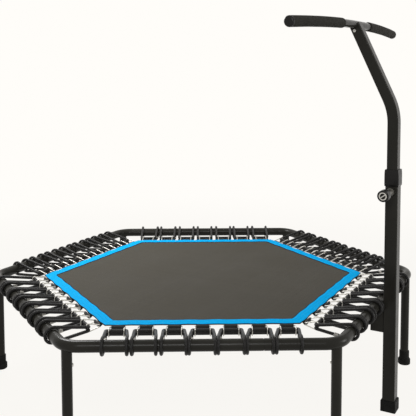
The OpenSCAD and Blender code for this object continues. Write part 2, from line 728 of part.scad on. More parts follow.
module knob_ring() {
    rim = 2.6;
    bar_w = 2.2;
    color(plated) at_drawn_pin() translate([0, 0, knob_end - ring_depth]) {
        difference() {
            cylinder(d = ring_d, h = ring_depth);
            translate([0, 0, -eps]) cylinder(d = ring_d - 2 * rim, h = ring_depth + 2 * eps);
        }
        intersection() {
            rotate([0, 0, 35]) translate([-ring_d / 2, -bar_w / 2, 0])
                cube([ring_d, bar_w, ring_depth - 0.6]);
            cylinder(d = ring_d - rim, h = ring_depth);
        }
    }
}
module lock_spring() {
    sides = 6;
    rings_per_turn = 8;
    steps = spring_turns * rings_per_turn;
    rise = (spring_end - spring_start - 2 * spring_wire_r) / steps;
    points = [for (i = [0 : steps], j = [0 : sides - 1])
        let (a = i * 360 / rings_per_turn, b = j * 360 / sides, r = spring_r + spring_wire_r * cos(b))
        [r * cos(a), r * sin(a), spring_start + spring_wire_r + i * rise + spring_wire_r * sin(b)]];
    turn_gap_min = min([for (i = [0 : len(points) - sides * rings_per_turn - 1])
        norm(points[i + sides * rings_per_turn] - points[i])]) - 2 * spring_wire_r;
    echo(lock_spring_least_gap = turn_gap_min);
    function at(i, j) = i * sides + j % sides;
    skin = [for (i = [0 : steps - 1], j = [0 : sides - 1], half = [0, 1]) half == 0
        ? [at(i, j), at(i + 1, j), at(i + 1, j + 1)]
        : [at(i, j), at(i + 1, j + 1), at(i, j + 1)]];
    first = [for (j = [1 : sides - 2]) [0, j, j + 1]];
    last = [for (j = [1 : sides - 2]) [at(steps, 0), at(steps, j + 1), at(steps, j)]];
    color(plated) at_pin() polyhedron(points = points, faces = concat(skin, first, last));
}

frame_section(1);  // frame_section_1
frame_section(2);  // frame_section_2
frame_section(3);  // frame_section_3
frame_section(4);  // frame_section_4
frame_section(5);  // frame_section_5
frame_section(6);  // frame_section_6
leg(1);  // leg_1
leg(2);  // leg_2
leg(3);  // leg_3
leg(4);  // leg_4
leg(5);  // leg_5
leg(6);  // leg_6
leg_foot(1);  // leg_foot_1
leg_foot(2);  // leg_foot_2
leg_foot(3);  // leg_foot_3
leg_foot(4);  // leg_foot_4
leg_foot(5);  // leg_foot_5
leg_foot(6);  // leg_foot_6
leg_bolts();
post_bracket();
bracket_bolts();
lower_post();
post_foot();
post_collar();
weld_nut();
pin_barrel();
bungee_side(1);  // bungee_side_1
bungee_side(2);  // bungee_side_2
bungee_side(3);  // bungee_side_3
bungee_side(4);  // bungee_side_4
bungee_side(5);  // bungee_side_5
bungee_side(6);  // bungee_side_6
cord_clips();
jump_mat();
border_webbing();
webbing_tabs();
rings_side(1);  // rings_side_1
rings_side(2);  // rings_side_2
rings_side(3);  // rings_side_3
rings_side(4);  // rings_side_4
rings_side(5);  // rings_side_5
rings_side(6);  // rings_side_6
upper_post();
post_glide();
handlebar();
handlebar_screw();
grip(-1);  // grip_left
grip(1);  // grip_right
grip_cap(-1);  // grip_cap_left
grip_cap(1);  // grip_cap_right
lock_pin();
lock_knob();
knob_ring();
lock_spring();
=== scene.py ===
import json
import math

import bmesh
import bpy
from bpy.props import FloatProperty, FloatVectorProperty, IntProperty, PointerProperty
from bpy.types import Operator, Panel, PropertyGroup
from mathutils import Matrix, Vector, noise


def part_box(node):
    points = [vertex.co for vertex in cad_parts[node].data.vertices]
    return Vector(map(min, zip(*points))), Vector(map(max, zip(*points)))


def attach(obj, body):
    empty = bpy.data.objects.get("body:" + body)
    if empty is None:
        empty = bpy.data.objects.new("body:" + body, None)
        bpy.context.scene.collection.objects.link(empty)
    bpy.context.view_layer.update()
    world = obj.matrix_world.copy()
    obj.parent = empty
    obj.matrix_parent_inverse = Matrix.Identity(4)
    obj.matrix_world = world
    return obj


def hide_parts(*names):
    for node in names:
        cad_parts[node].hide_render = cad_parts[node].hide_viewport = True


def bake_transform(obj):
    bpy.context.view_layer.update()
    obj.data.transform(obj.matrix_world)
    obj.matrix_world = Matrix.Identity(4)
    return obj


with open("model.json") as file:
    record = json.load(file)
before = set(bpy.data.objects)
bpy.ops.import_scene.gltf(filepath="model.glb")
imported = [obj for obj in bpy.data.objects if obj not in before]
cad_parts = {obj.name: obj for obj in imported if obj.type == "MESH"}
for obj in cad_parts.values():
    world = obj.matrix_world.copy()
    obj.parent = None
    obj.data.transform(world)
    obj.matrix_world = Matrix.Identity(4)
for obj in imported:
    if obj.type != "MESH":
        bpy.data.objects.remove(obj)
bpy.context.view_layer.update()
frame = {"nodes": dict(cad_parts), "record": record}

bl_info = {
    "name": "Mini trampoline",
    "version": (1, 0, 0),
    "blender": (4, 5, 0),
    "location": "3D View > Sidebar > Trampoline",
    "description": "Dresses the mini trampoline's frame with cords, rings, mat, grips and finishes",
    "category": "Object",
}

MAT_LOW, MAT_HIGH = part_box("jump_mat")
MAT_MIDDLE = (MAT_LOW + MAT_HIGH) / 2
SIDES = range(1, 7)
EVEN_SIDES = (2, 4)         # the two sides whose cords' turns lie evenly spread
FRONT = 6                   # the side at the front
COS_30, TAN_30 = math.cos(math.pi / 6), math.tan(math.pi / 6)


# Sizes and colours

def length(name, about, millimetres):
    """A length property, given in millimetres."""
    return FloatProperty(name=name, description=about, default=millimetres / 1000, min=0.0,
                         precision=5, unit="LENGTH", subtype="DISTANCE")


def fraction(name, about, value):
    """A share between nothing and all."""
    return FloatProperty(name=name, description=about, default=value, min=0.0, max=1.0,
                         subtype="FACTOR")


def tilt(name, about, radians):
    """An angle property."""
    return FloatProperty(name=name, description=about, default=radians, subtype="ANGLE")


def position(name, about, *metres):
    """A place property."""
    return FloatVectorProperty(name=name, description=about, size=3, default=metres,
                               subtype="TRANSLATION", unit="LENGTH")


def colour(name, about, red, green, blue):
    """A colour property, given as the eight-bit values that a screen shows."""
    def linear(value):
        value /= 255
        return value / 12.92 if value <= 0.04045 else ((value + 0.055) / 1.055) ** 2.4
    return FloatVectorProperty(name=name, description=about, size=4, min=0.0, max=1.0, subtype="COLOR",
                               default=(linear(red), linear(green), linear(blue), 1.0))


class CordSizes(PropertyGroup):
    """Rings and cords, with the frame tube that they hang from."""
    corner_r: length("Leg circle", "Distance from the middle of the mat to each leg", 620)
    bend_r: length("Corner bend", "Centre-line radius of the frame's corner bends", 60)
    tube_d: length("Frame tube", "Outside diameter of the frame tube", 28)
    rings: IntProperty(name="Rings", description="Rings on each side of the mat", default=7, min=1)
    pitch: length("Ring pitch", "Distance between rings along a side", 69)
    eye_gap: length("Eye gap", "Distance between the two eyes of a ring", 37)
    wire_d: length("Ring wire", "Wire diameter of a ring", 3)
    bar_gap: length("Bar gap", "Height between a ring's two inner bars", 4.4)
    bar_out: length("Bar offset", "Distance from the mat's edge to a ring's inner bars", 4)
    eye_reach: length("Eye reach", "Distance from a ring's inner bars to the cords in its eyes", 30)
    ring_drop: length("Ring drop", "How far the rings hang below the middle of the mat's thickness", 4)
    cord_d: length("Cord", "Diameter of a bungee cord", 8)
    turn_gap: length("Turn gap", "Distance between a cord's two turns round the frame tube", 57)
    even_turn_gap: length("Even turn gap", "The same distance on sides 2 and 4, with even turns", 40)
    cord_bend_r: length("Cord bend", "Centre-line radius of a cord's bend outside an eye", 5)
    turn_play: length("Turn play", "How far a turn lies from its regular place on the frame tube", 1.8)
    even_turn_play: length("Even turn play", "The same play on sides 2 and 4", 4)
    front_gather: fraction("Front gather", "How far the front turns lie towards their side's middle", 0.04)
    clip_len: length("Clip length", "Length of the wire clip that closes a cord", 12)
    clip_wire: length("Clip wire", "Wire diameter of that clip", 1.5)
    clip_place: fraction("Clip place", "Place of a clip along its cord's lower run, from the ring", 0.62)
    front_clip_place: fraction("Front clip place", "The same place on the side at the front", 0.34)
    slide_gap: length("Play", "Clearance of a cord in its eye and on the tube", 0.3)
    seed: IntProperty(name="Seed", description="Seed of the uneven turns", default=11, min=0)


class MatSizes(PropertyGroup):
    """The jump mat, its border and the tabs on its edge."""
    mat_r: length("Mat", "Distance from the middle of the mat to its corners", 484)
    mat_t: length("Mat thickness", "Thickness of the woven mat", 2)
    band_w: length("Border width", "Width of the border webbing", 33)
    band_t: length("Border thickness", "Thickness of the border webbing", 1.6)
    scallop: length("Scallop", "How far the edge draws in between two tabs", 2.2)
    tab_w: length("Tab width", "Width of a webbing tab", 33)
    tab_t: length("Tab thickness", "Thickness of a webbing tab", 1.5)
    tab_tail: length("Tab tail", "Length of a webbing tab sewn under the mat", 26)
    stitch: length("Stitch", "Length of one stitch", 2.6)
    stitch_pitch: length("Stitch pitch", "Distance between two stitches", 3.8)
    thread: length("Thread", "Thickness of the sewing thread", 0.55)


class GripSizes(PropertyGroup):
    """The foam grips on the swept handlebar."""
    handle_w: length("Handlebar", "Straight distance between the handlebar's ends", 826)
    bar_d: length("Bar", "Outside diameter of the handlebar", 21)
    bar_sag: length("Sweep", "How far the handlebar's ends sweep back and down", 19)
    sag_angle: tilt("Sweep angle", "Angle of that sweep below level", math.radians(40))
    middle: position("Middle", "Middle of the handlebar's centre line", 0.454627, 0.0, 1.031)
    grip_gap: length("Grip gap", "Distance between the grips", 216)
    grip_d: length("Grip", "Outside diameter of a foam grip", 26)
    cap_t: length("Cap", "Thickness of a grip's end cap", 6)
    round_r: length("Rounding", "Rounding of a foam grip's ends", 2)


class Colours(PropertyGroup):
    """The colours of the finishes."""
    paint: colour("Frame paint", "Black powder coat of the tubes and posts", 41, 40, 36)
    rubber: colour("Rubber", "Feet and post cap", 26, 26, 25)
    plastic: colour("Plastic", "Collar, caps and knob", 27, 26, 25)
    plating: colour("Plating", "Zinc plate of rings, clips, bolts and pin", 192, 190, 184)
    dark_plating: colour("Dark plating", "Darker plate of the lock's barrel", 112, 110, 105)
    cord: colour("Cord cover", "Braided cover of the bungee cords", 19, 18, 17)
    mat: colour("Mat", "Woven jump mat", 72, 69, 62)
    border: colour("Border", "Blue border webbing", 3, 178, 252)
    # The dark lines along the border's edges are painted shade of the gaps at its edges.
    border_edge_shade: colour("Border edge", "Dark binding along the border's edges", 6, 22, 44)
    border_thread: colour("Border thread", "Sewing thread of the border", 14, 100, 172)
    tab: colour("Tab", "Black webbing tabs", 20, 20, 19)
    tab_thread: colour("Tab thread", "Sewing thread of the tabs", 48, 47, 45)
    foam: colour("Grip foam", "Foam of the grips", 46, 45, 41)
    ground: colour("Floor", "Pale studio floor", 168, 166, 162)


class StageSizes(PropertyGroup):
    """The floor, the camera and the light."""
    eye: position("Camera", "Place of the camera", 1.057, -1.8276, 0.9267)
    turn: tilt("Turn", "Turn of the camera to the left of +Y", 0.4975)
    dip: tilt("Dip", "Tilt of the camera below level", 0.0686)
    lens: FloatProperty(name="Lens", description="Focal length in millimetres", default=61.157, min=1.0)
    shift: FloatVectorProperty(name="Shift", description="Lens shift that frames the object", size=2,
                               default=(-0.04524, -0.22981))
    floor_r: length("Floor radius", "Radius of the pale floor", 14000)
    sky: FloatProperty(name="Sky", description="Level of the light from all round", default=0.22,
                       min=0.0)


# Node trees

class Value:
    """A result in a node tree; sums and products of it are Math nodes."""

    def __init__(self, tree, socket):
        self.tree, self.socket = tree, socket

    def math(self, operation, other=0.0):
        """A Math node's result, in a material or in Geometry Nodes."""
        return result(self.tree, "ShaderNodeMath", {0: self, 1: other}, operation=operation)

    def __add__(self, other):
        return self.math("ADD", other)

    def __sub__(self, other):
        return self.math("SUBTRACT", other)

    def __mul__(self, other):
        return self.math("MULTIPLY", other)

    def __truediv__(self, other):
        return self.math("DIVIDE", other)

    def between(self, low, high, to_low=0.0, to_high=1.0, how="LINEAR"):
        """The value moved from one range to another, and held inside it."""
        return result(self.tree, "ShaderNodeMapRange",
                      {0: self, 1: low, 2: high, 3: to_low, 4: to_high}, interpolation_type=how)


def add(tree, kind, inputs=None, **settings):
    """Adds a node, sets its settings, and sets or links its inputs."""
    made = tree.nodes.new(kind)
    for key, value in settings.items():
        setattr(made, key, value)
    for key, value in (inputs or {}).items():
        if isinstance(value, Value):
            tree.links.new(value.socket, made.inputs[key])
        else:
            made.inputs[key].default_value = value
    return made


def results(tree, kind, outputs, inputs=None, **settings):
    """Adds a node and returns some of its results."""
    made = add(tree, kind, inputs, **settings).outputs
    return [Value(tree, made[output]) for output in outputs]


def result(tree, kind, inputs=None, output=0, **settings):
    """Adds a node and returns one of its results."""
    return results(tree, kind, [output], inputs, **settings)[0]


def split(vector):
    """The first two parts of a vector."""
    return results(vector.tree, "ShaderNodeSeparateXYZ", (0, 1), {0: vector})


def cleared(owner):
    """The emptied node tree of a material or a world."""
    owner.use_nodes = True
    owner.node_tree.nodes.clear()
    return owner.node_tree


def mixed(tree, share, first, second):
    """Two colours mixed by share."""
    return result(tree, "ShaderNodeMix", {0: share, 6: first, 7: second}, 2, data_type="RGBA")


def in_sight(tree):
    """One for what the camera sees, straight or by way of a shiny or clear surface."""
    rays = ("Is Camera Ray", "Is Glossy Ray", "Is Transmission Ray")
    seen, shiny, clear = results(tree, "ShaderNodeLightPath", rays)
    return seen.math("MAXIMUM", shiny.math("MAXIMUM", clear))


def shaded(base, amount):
    """A colour made lighter or darker by amount."""
    return tuple(min(1.0, c * amount) for c in base[:3]) + (1.0,)


NOISE_SPAN = (0.3, 0.7)     # where nearly all of a noise value lies


class Finish:
    """One material: a principled surface with coordinates, bump and colour of its own."""

    def __init__(self, name, **fixed):
        self.material = bpy.data.materials.new(name)
        self.tree = cleared(self.material)
        self.shader = add(self.tree, "ShaderNodeBsdfPrincipled",
                          {key.replace("_", " "): value for key, value in fixed.items()})
        add(self.tree, "ShaderNodeOutputMaterial", {0: Value(self.tree, self.shader.outputs[0])})
        self.normal = None

    def place(self, kind="Object"):
        """The place on the surface, in the object's or another kind of coordinates."""
        return result(self.tree, "ShaderNodeTexCoord", output=kind)

    def grain(self, scale, detail=2.0):
        """A noise value over the surface."""
        return result(self.tree, "ShaderNodeTexNoise",
                      {"Vector": self.place(), "Scale": scale, "Detail": detail}, "Fac")

    def cells(self, scale):
        """The distance from the middle of each cell over the surface."""
        return result(self.tree, "ShaderNodeTexVoronoi",
                      {"Vector": self.place(), "Scale": scale}, "Distance")

    def set(self, socket, value):
        self.tree.links.new(value.socket, self.shader.inputs[socket])

    def tint(self, amount, first, second):
        """Colours the surface from the first colour to the second by amount."""
        self.set("Base Color", mixed(self.tree, amount, first, second))

    def polish(self, value, low, high):
        """Varies the roughness from low to high with a noise value."""
        self.set("Roughness", value.between(*NOISE_SPAN, low, high))

    def relief(self, height, strength, distance):
        """Raises the surface, over the relief that it has."""
        inputs = {"Height": height, "Strength": strength, "Distance": distance}
        if self.normal:
            inputs["Normal"] = self.normal
        self.normal = result(self.tree, "ShaderNodeBump", inputs)
        self.set("Normal", self.normal)

    def either(self, which, first, second):
        """The first value or the second one."""
        return result(self.tree, "ShaderNodeMix", {0: which, 2: first, 3: second}, data_type="FLOAT")

    def weave(self, first, second):
        """Two crossing sets of ribbons: which set lies on top, and the height of the top one."""
        odd = (first.math("FLOOR") + second.math("FLOOR")).math("FLOORED_MODULO", 2.0)
        ridges = [(way.math("FRACT") * math.pi).math("SINE") for way in (first, second)]
        return odd, self.either(odd, *ridges)

    def webbing(self, ribs, pitch):
        """The ribs along a strip of webbing, its weft at that pitch, and the place across it."""
        along, across = split(self.place("UV"))
        rib, weft = ((way * (2 * math.pi * times)).math("SINE")
                     for way, times in ((across, ribs), (along, 1 / pitch)))
        return rib, weft, across


MAKERS, FINISHES = {}, {}


def finish(slot, tone, name=None, **fixed):
    """Puts a function down as the maker of a slot's material, from one of the scene's colours."""
    def put_down(make):
        MAKERS[slot] = make, tone, name or slot, fixed
        return make
    return put_down


@finish("frame_paint", "paint", "black_powder_coat", IOR=1.2)
def painted_steel(f, base):
    """Powder coat: near black, with a fine orange-peel skin and faint dust."""
    f.tint(f.grain(9.0, 4.0).between(0.45, 0.75), base, shaded(base, 1.35))
    f.polish(f.grain(38.0, 3.0), 0.18, 0.28)
    f.relief(f.grain(620.0), 0.16, 0.0006)
    f.relief(f.grain(70.0, 1.0), 0.06, 0.002)


@finish("foot_rubber", "rubber", "black_rubber", IOR=1.2)
def moulded_rubber(f, base):
    """Matt rubber with a fine moulded grain and scuffs."""
    f.tint(f.grain(45.0, 6.0).between(0.5, 0.72), base, shaded(base, 1.7))
    f.polish(f.grain(30.0), 0.62, 0.82)
    f.relief(f.grain(1500.0, 3.0), 0.22, 0.0004)


@finish("black_plastic", "plastic", IOR=1.25)
def moulded_plastic(f, base):
    """Satin plastic with a spark-eroded grain."""
    f.tint(f.grain(14.0, 3.0), base, shaded(base, 1.3))
    f.polish(f.grain(60.0), 0.26, 0.38)
    f.relief(f.cells(1400.0), 0.1, 0.0003)


@finish("plated_steel", "plating", Metallic=1.0)
@finish("dark_plated_steel", "dark_plating", Metallic=1.0)
def plated_steel(f, base):
    """Plated steel with a slightly milky bloom."""
    bloom = f.grain(90.0, 4.0)
    f.tint(bloom.between(0.35, 0.7), base, shaded(base, 0.8))
    f.polish(bloom, 0.33, 0.48)
    f.relief(f.grain(900.0), 0.07, 0.0003)


@finish("cord_cover", "cord", "braided_cord_cover", IOR=1.3, Sheen_Weight=0.03, Sheen_Roughness=0.4)
def braided_cover(f, base):
    """Two crossing sets of yarns round a cord, from its own UV map."""
    yarn_run, yarns = 0.0058, 10.0
    along, around = split(f.place("UV"))
    run, turn = along / yarn_run, around * yarns
    height = f.weave(run + turn, run - turn)[1]
    # The yarns are painted lighter on their crowns, with painted shade at their edges where they dip under
    # each other.
    f.tint(height, shaded(base, 0.55), shaded(base, 1.25))
    f.polish(f.grain(400.0), 0.38, 0.54)
    f.relief(height, 0.55, 0.0006)


@finish("mat_fabric", "mat", "woven_mat", IOR=1.12)
def woven_mat(f, base):
    """Plain weave of flat tapes, with lighter and darker tapes and faint clouds."""
    tape_pitch = 0.0019
    ways = [way / tape_pitch for way in split(f.place())]
    odd, height = f.weave(*ways)
    tape = f.either(odd, *(result(f.tree, "ShaderNodeTexWhiteNoise", {"W": way.math("FLOOR")},
                                  noise_dimensions="1D") for way in ways))
    cloud = f.grain(5.0, 3.0)
    # Tapes differ at random and in faint clouds; their crowns are painted lighter, with painted shade
    # where they dip under each other.
    tone = tape * 0.35 + cloud * 0.5 + height * 0.25
    f.tint(tone.between(0.2, 0.9), shaded(base, 0.8), shaded(base, 1.18))
    f.polish(cloud, 0.5, 0.62)
    f.relief(height, 0.3, 0.0005)


@finish("border_fabric", "border", "blue_border_webbing", IOR=1.1)
def border_webbing(f, base):
    """Blue ribbed webbing, with painted shade between its ribs and along both edges; the UV map runs along
    and across the strip.
    """
    inner_shade_span, outer_shade_span = (0.07, 0.08), (0.965, 0.975)
    rib, weft, across = f.webbing(ribs=11, pitch=0.0013)
    # Tone: random grain, and the ribs painted lighter on top with painted shade between them.
    tone = rib * 0.22 + f.grain(160.0, 4.0) * 0.9
    cloth = mixed(f.tree, tone.between(0.1, 0.9), shaded(base, 0.86), shaded(base, 1.14))
    # Dark lines along both edges: painted shade of the gaps at the border's edges.
    edge_shade = across.between(*inner_shade_span, 1.0, 0.0).math("MAXIMUM", across.between(*outer_shade_span))
    f.tint(edge_shade, cloth, tuple(bpy.context.scene.trampoline_colours.border_edge_shade))
    f.polish(f.grain(220.0), 0.55, 0.7)
    f.relief(rib + weft * 0.5, 0.3, 0.0004)


@finish("tab_fabric", "tab", "black_tab_webbing", IOR=1.3, Sheen_Weight=0.03, Sheen_Roughness=0.4)
def tab_webbing(f, base):
    """Black ribbed webbing of the tabs."""
    rib, weft, _ = f.webbing(ribs=12, pitch=0.0014)
    height = rib * weft
    # Random grain, and the webbing painted lighter where its relief is high, with painted shade where it
    # is low between the ribs.
    tone = height + f.grain(300.0, 3.0)
    f.tint(tone.between(-0.5, 1.5), shaded(base, 0.7), shaded(base, 1.5))
    f.polish(f.grain(220.0), 0.4, 0.54)
    f.relief(height, 0.35, 0.0005)


@finish("border_thread", "border_thread", Roughness=0.5, IOR=1.15)
@finish("tab_thread", "tab_thread", Roughness=0.5, IOR=1.15)
def sewing_thread(f, base):
    """Twisted thread."""
    twist = f.grain(1600.0)
    f.tint(twist, shaded(base, 0.75), shaded(base, 1.15))
    f.relief(twist, 0.3, 0.0003)


@finish("grip_foam", "foam", IOR=1.2)
def grip_foam(f, base):
    """Soft closed-cell foam with open pores on its skin."""
    pores = f.cells(900.0).between(0.05, 0.45)
    tone = pores * f.grain(30.0, 4.0).between(*NOISE_SPAN, 0.7, 1.0)
    # The pores are painted dark, as painted shade inside them; the rest of the tone varies at random.
    f.tint(tone, shaded(base, 0.55), shaded(base, 1.1))
    f.polish(f.grain(120.0), 0.78, 0.92)
    f.relief(f.grain(55.0, 3.0), 0.15, 0.002)
    f.relief(pores, 0.35, 0.0006)


def finish_for(slot):
    """The material of a slot, made once from the scene's colours."""
    if slot not in FINISHES:
        make, tone, name, fixed = MAKERS[slot]
        made = Finish(name, **fixed)
        make(made, tuple(getattr(bpy.context.scene.trampoline_colours, tone)))
        FINISHES[slot] = made.material
    return FINISHES[slot]


def dress(names, slot):
    """Gives CAD nodes the finish of a slot."""
    for name in names:
        mesh = frame["nodes"][name].data
        mesh.materials.clear()
        mesh.materials.append(finish_for(slot))


# Geometry Nodes

SEAM_WELD = 0.00002         # joins the two edges of a swept wire's seam


class MakerTree:
    """A Geometry Nodes tree with named inputs."""

    def __init__(self, name, **kinds):
        self.tree = bpy.data.node_groups.new(name, "GeometryNodeTree")
        self.keys = {}
        new_socket = self.tree.interface.new_socket
        for way in ("INPUT", "OUTPUT"):
            new_socket("Geometry", in_out=way, socket_type="NodeSocketGeometry")
        for key, kind in kinds.items():
            socket = new_socket(key.replace("_", " ").capitalize(), in_out="INPUT",
                                socket_type="NodeSocket" + kind)
            self.keys[key] = socket.identifier
        self.given = add(self.tree, "NodeGroupInput").outputs

    def __getitem__(self, key):
        return Value(self.tree, next(s for s in self.given if s.identifier == self.keys[key]))

    def guide(self):
        """The mesh that the tree is run on."""
        return Value(self.tree, self.given[0])

    def made(self, kind, inputs=None, output=0, **settings):
        """A result of a new geometry node."""
        return result(self.tree, "GeometryNode" + kind, inputs, output, **settings)

    def vector(self, **parts):
        """A vector from the parts that are given."""
        return result(self.tree, "ShaderNodeCombineXYZ", {"xyz".index(k): v for k, v in parts.items()})

    def marked(self, geometry, name, value, data_type="FLOAT", domain="POINT"):
        """Geometry with a named value."""
        inputs = {"Geometry": geometry, "Name": name, "Value": value}
        return self.made("StoreNamedAttribute", inputs, data_type=data_type, domain=domain)

    def captured(self, curve, value):
        """A curve with a value taken along: the node's results are both."""
        taken = add(self.tree, "GeometryNodeCaptureAttribute", {0: curve})
        taken.capture_items.new("FLOAT", "Value")
        self.tree.links.new(value.socket, taken.inputs[1])
        return [Value(self.tree, socket) for socket in taken.outputs[:2]]

    def end(self, geometry, material):
        """Realize Instances, Set Material and the output."""
        real = self.made("RealizeInstances", {0: geometry})
        painted = self.made("SetMaterial", {"Geometry": real, "Material": material})
        add(self.tree, "NodeGroupOutput", {0: painted})

    def mesh(self, name, guide, **values):
        """Runs the tree on a guide mesh and returns the plain mesh it makes."""
        maker = new_object(name + "_maker", guide)
        modifier = maker.modifiers.new("maker", "NODES")
        modifier.node_group = self.tree
        for key, value in values.items():
            modifier[self.keys[key]] = value
        graph = bpy.context.evaluated_depsgraph_get()
        made = bpy.data.meshes.new_from_object(maker.evaluated_get(graph), depsgraph=graph,
                                               preserve_all_data_layers=True)
        maker.modifiers.remove(modifier)
        bpy.data.objects.remove(maker)
        bpy.data.meshes.remove(guide)
        if not made.polygons:
            raise RuntimeError(name + ": the node tree made no faces")
        made.name = name
        return made


def strung_wires():
    """Sweeps a round wire along a guide line, repeats it along a side of the mat and lets its turns
    round the frame tube lie unevenly, and gathered towards the middle of the side."""
    m = MakerTree("strung_wires", wire_diameter="Float", wire_sides="Int", count="Int", pitch="Float",
                  play="Float", gather="Float", ring_end="Float", tube_end="Float", seed="Int",
                  finish="Material")
    t = m.tree
    line = m.made("MeshToCurve", {0: m.guide()})
    line, along = m.captured(line, m.made("SplineParameter", output="Length"))
    ring = m.made("CurveArc", {"Resolution": m["wire_sides"] + 1.0, "Sweep Angle": 2 * math.pi,
                               "Radius": m["wire_diameter"] * 0.5})
    ring, around = m.captured(ring, m.made("SplineParameter", output="Factor"))
    skin = m.made("CurveToMesh", {0: line, 1: ring})
    skin = m.marked(skin, "UVMap", m.vector(x=along, y=around), "FLOAT2", "CORNER")
    skin = m.made("MergeByDistance", {"Geometry": skin, "Distance": SEAM_WELD})
    skin = m.made("SetShadeSmooth", {0: skin})
    start = (m["count"] - 1.0) * -0.5 * m["pitch"]
    points = m.made("MeshLine", {"Count": m["count"], "Offset": m.vector(y=m["pitch"]),
                                 "Start Location": m.vector(y=start)})
    index = m.made("InputIndex")
    x, y = split(m.made("InputPosition"))
    least, most = (m["play"] * times for times in (-1.0, 2.0))
    points = m.marked(points, "ring_y", y)
    for name, step, sign in (("drift_before", 0.0, 1.0), ("drift_after", 1.0, -1.0)):
        pick = result(t, "FunctionNodeRandomValue",
                      {2: least, 3: most, "Seed": m["seed"], "ID": index + step}, 1, data_type="FLOAT")
        points = m.marked(points, name, pick * sign - y * m["gather"])
    many = m.made("InstanceOnPoints", {"Points": points, "Instance": skin})
    many = m.made("RealizeInstances", {0: many})
    kept = {name: m.made("InputNamedAttribute", {"Name": name}, data_type="FLOAT")
            for name in ("drift_before", "drift_after", "ring_y")}
    after = result(t, "FunctionNodeCompare", {0: y, 1: kept["ring_y"]}, data_type="FLOAT",
                   operation="GREATER_THAN")
    drift = m.made("Switch", {0: after, 1: kept["drift_before"], 2: kept["drift_after"]},
                   input_type="FLOAT")
    offset = m.vector(y=drift * x.between(m["ring_end"], m["tube_end"]))
    many = m.made("SetPosition", {"Geometry": many, "Offset": offset})
    for name in kept:
        many = m.made("RemoveAttribute", {"Geometry": many, "Name": name})
    m.end(many, m["finish"])
    return m


def sewn_lines():
    """Lays stitches end to end along guide lines."""
    m = MakerTree("sewn_lines", stitch="Float", pitch="Float", thread="Float", finish="Material")
    line = m.made("MeshToCurve", {0: m.guide()})
    spots, tangent = results(m.tree, "GeometryNodeCurveToPoints", ("Points", "Tangent"),
                             {"Curve": line, "Length": m["pitch"]}, mode="LENGTH")
    bead = m.made("MeshUVSphere", {"Segments": 6, "Rings": 5, "Radius": 0.5})
    size = m.vector(x=m["thread"], y=m["thread"], z=m["stitch"])
    bead = m.made("SetShadeSmooth", {0: m.made("Transform", {"Geometry": bead, "Scale": size})})
    way = result(m.tree, "FunctionNodeAlignRotationToVector", {"Vector": tangent}, axis="Z")
    many = m.made("InstanceOnPoints", {"Points": spots, "Instance": bead, "Rotation": way})
    m.end(many, m["finish"])
    return m


TREES = {}


def tree_for(make):
    """A node tree, made once."""
    if make not in TREES:
        TREES[make] = make()
    return TREES[make]


# Shapes

def side_place(k):
    """The place of a side: X outwards, Y along it, from the mat's middle."""
    return Matrix.Translation(MAT_MIDDLE) @ Matrix.Rotation(math.radians(60 * (k - 1)), 4, "Z")


def guide_line(name, *lines, closed=False):
    """A mesh of loose edges through the points of each line."""
    mesh = bpy.data.meshes.new(name)
    points, edges = [], []
    for line in lines:
        first = len(points)
        points += [tuple(p) for p in line]
        edges += [(first + i, first + i + 1) for i in range(len(line) - 1)]
        if closed:
            edges.append((len(points) - 1, first))
    mesh.from_pydata(points, edges, [])
    return mesh


def new_object(name, data):
    """A new object in the scene, at the origin."""
    made = bpy.data.objects.new(name, data)
    bpy.context.scene.collection.objects.link(made)
    return made


def new_piece(name, mesh, slot=None):
    """A new piece, with its slot's finish unless the mesh has one."""
    piece = new_object(name, mesh)
    if slot and not mesh.materials:
        mesh.materials.append(finish_for(slot))
    slot in [m.get("slot") for m in frame["record"]["materials"]]
    return piece


MOST_BENT = 0.48            # the share of a straight run that one bend may take up


def rounded(points, radius, steps):
    """An open path with its corners turned into arcs."""
    path = [points[0]]
    for before, p, after in zip(points, points[1:], points[2:]):
        a, b = before - p, after - p
        half = a.angle(b) / 2
        reach = min(radius / math.tan(half), a.length * MOST_BENT, b.length * MOST_BENT)
        a, b = a.normalized(), b.normalized()
        middle = p + (a + b).normalized() * (reach * math.tan(half) / math.sin(half))
        start = p + a * reach - middle
        axis = start.cross(p + b * reach - middle).normalized()
        turn = math.pi - 2 * half
        path += [middle + Matrix.Rotation(turn * j / steps, 3, axis) @ start for j in range(steps + 1)]
    return path + [points[-1]]


TURN_AIR = 0.0002           # more room between a cord's turn and the tube
RUN_STUB = 0.03             # straight part of a run that its bend at the ring is drawn with
LEAST_STEP = 0.0004         # points of a cord closer than this are one
CLIP_STAND = 0.3            # how far the clip's wire stands off the cord, as a share of its thickness
EYE_STEPS = 8
BAR_STUB, BAR_BEND = 0.006, 0.0035      # straight part and bend where a ring's eye joins its bars


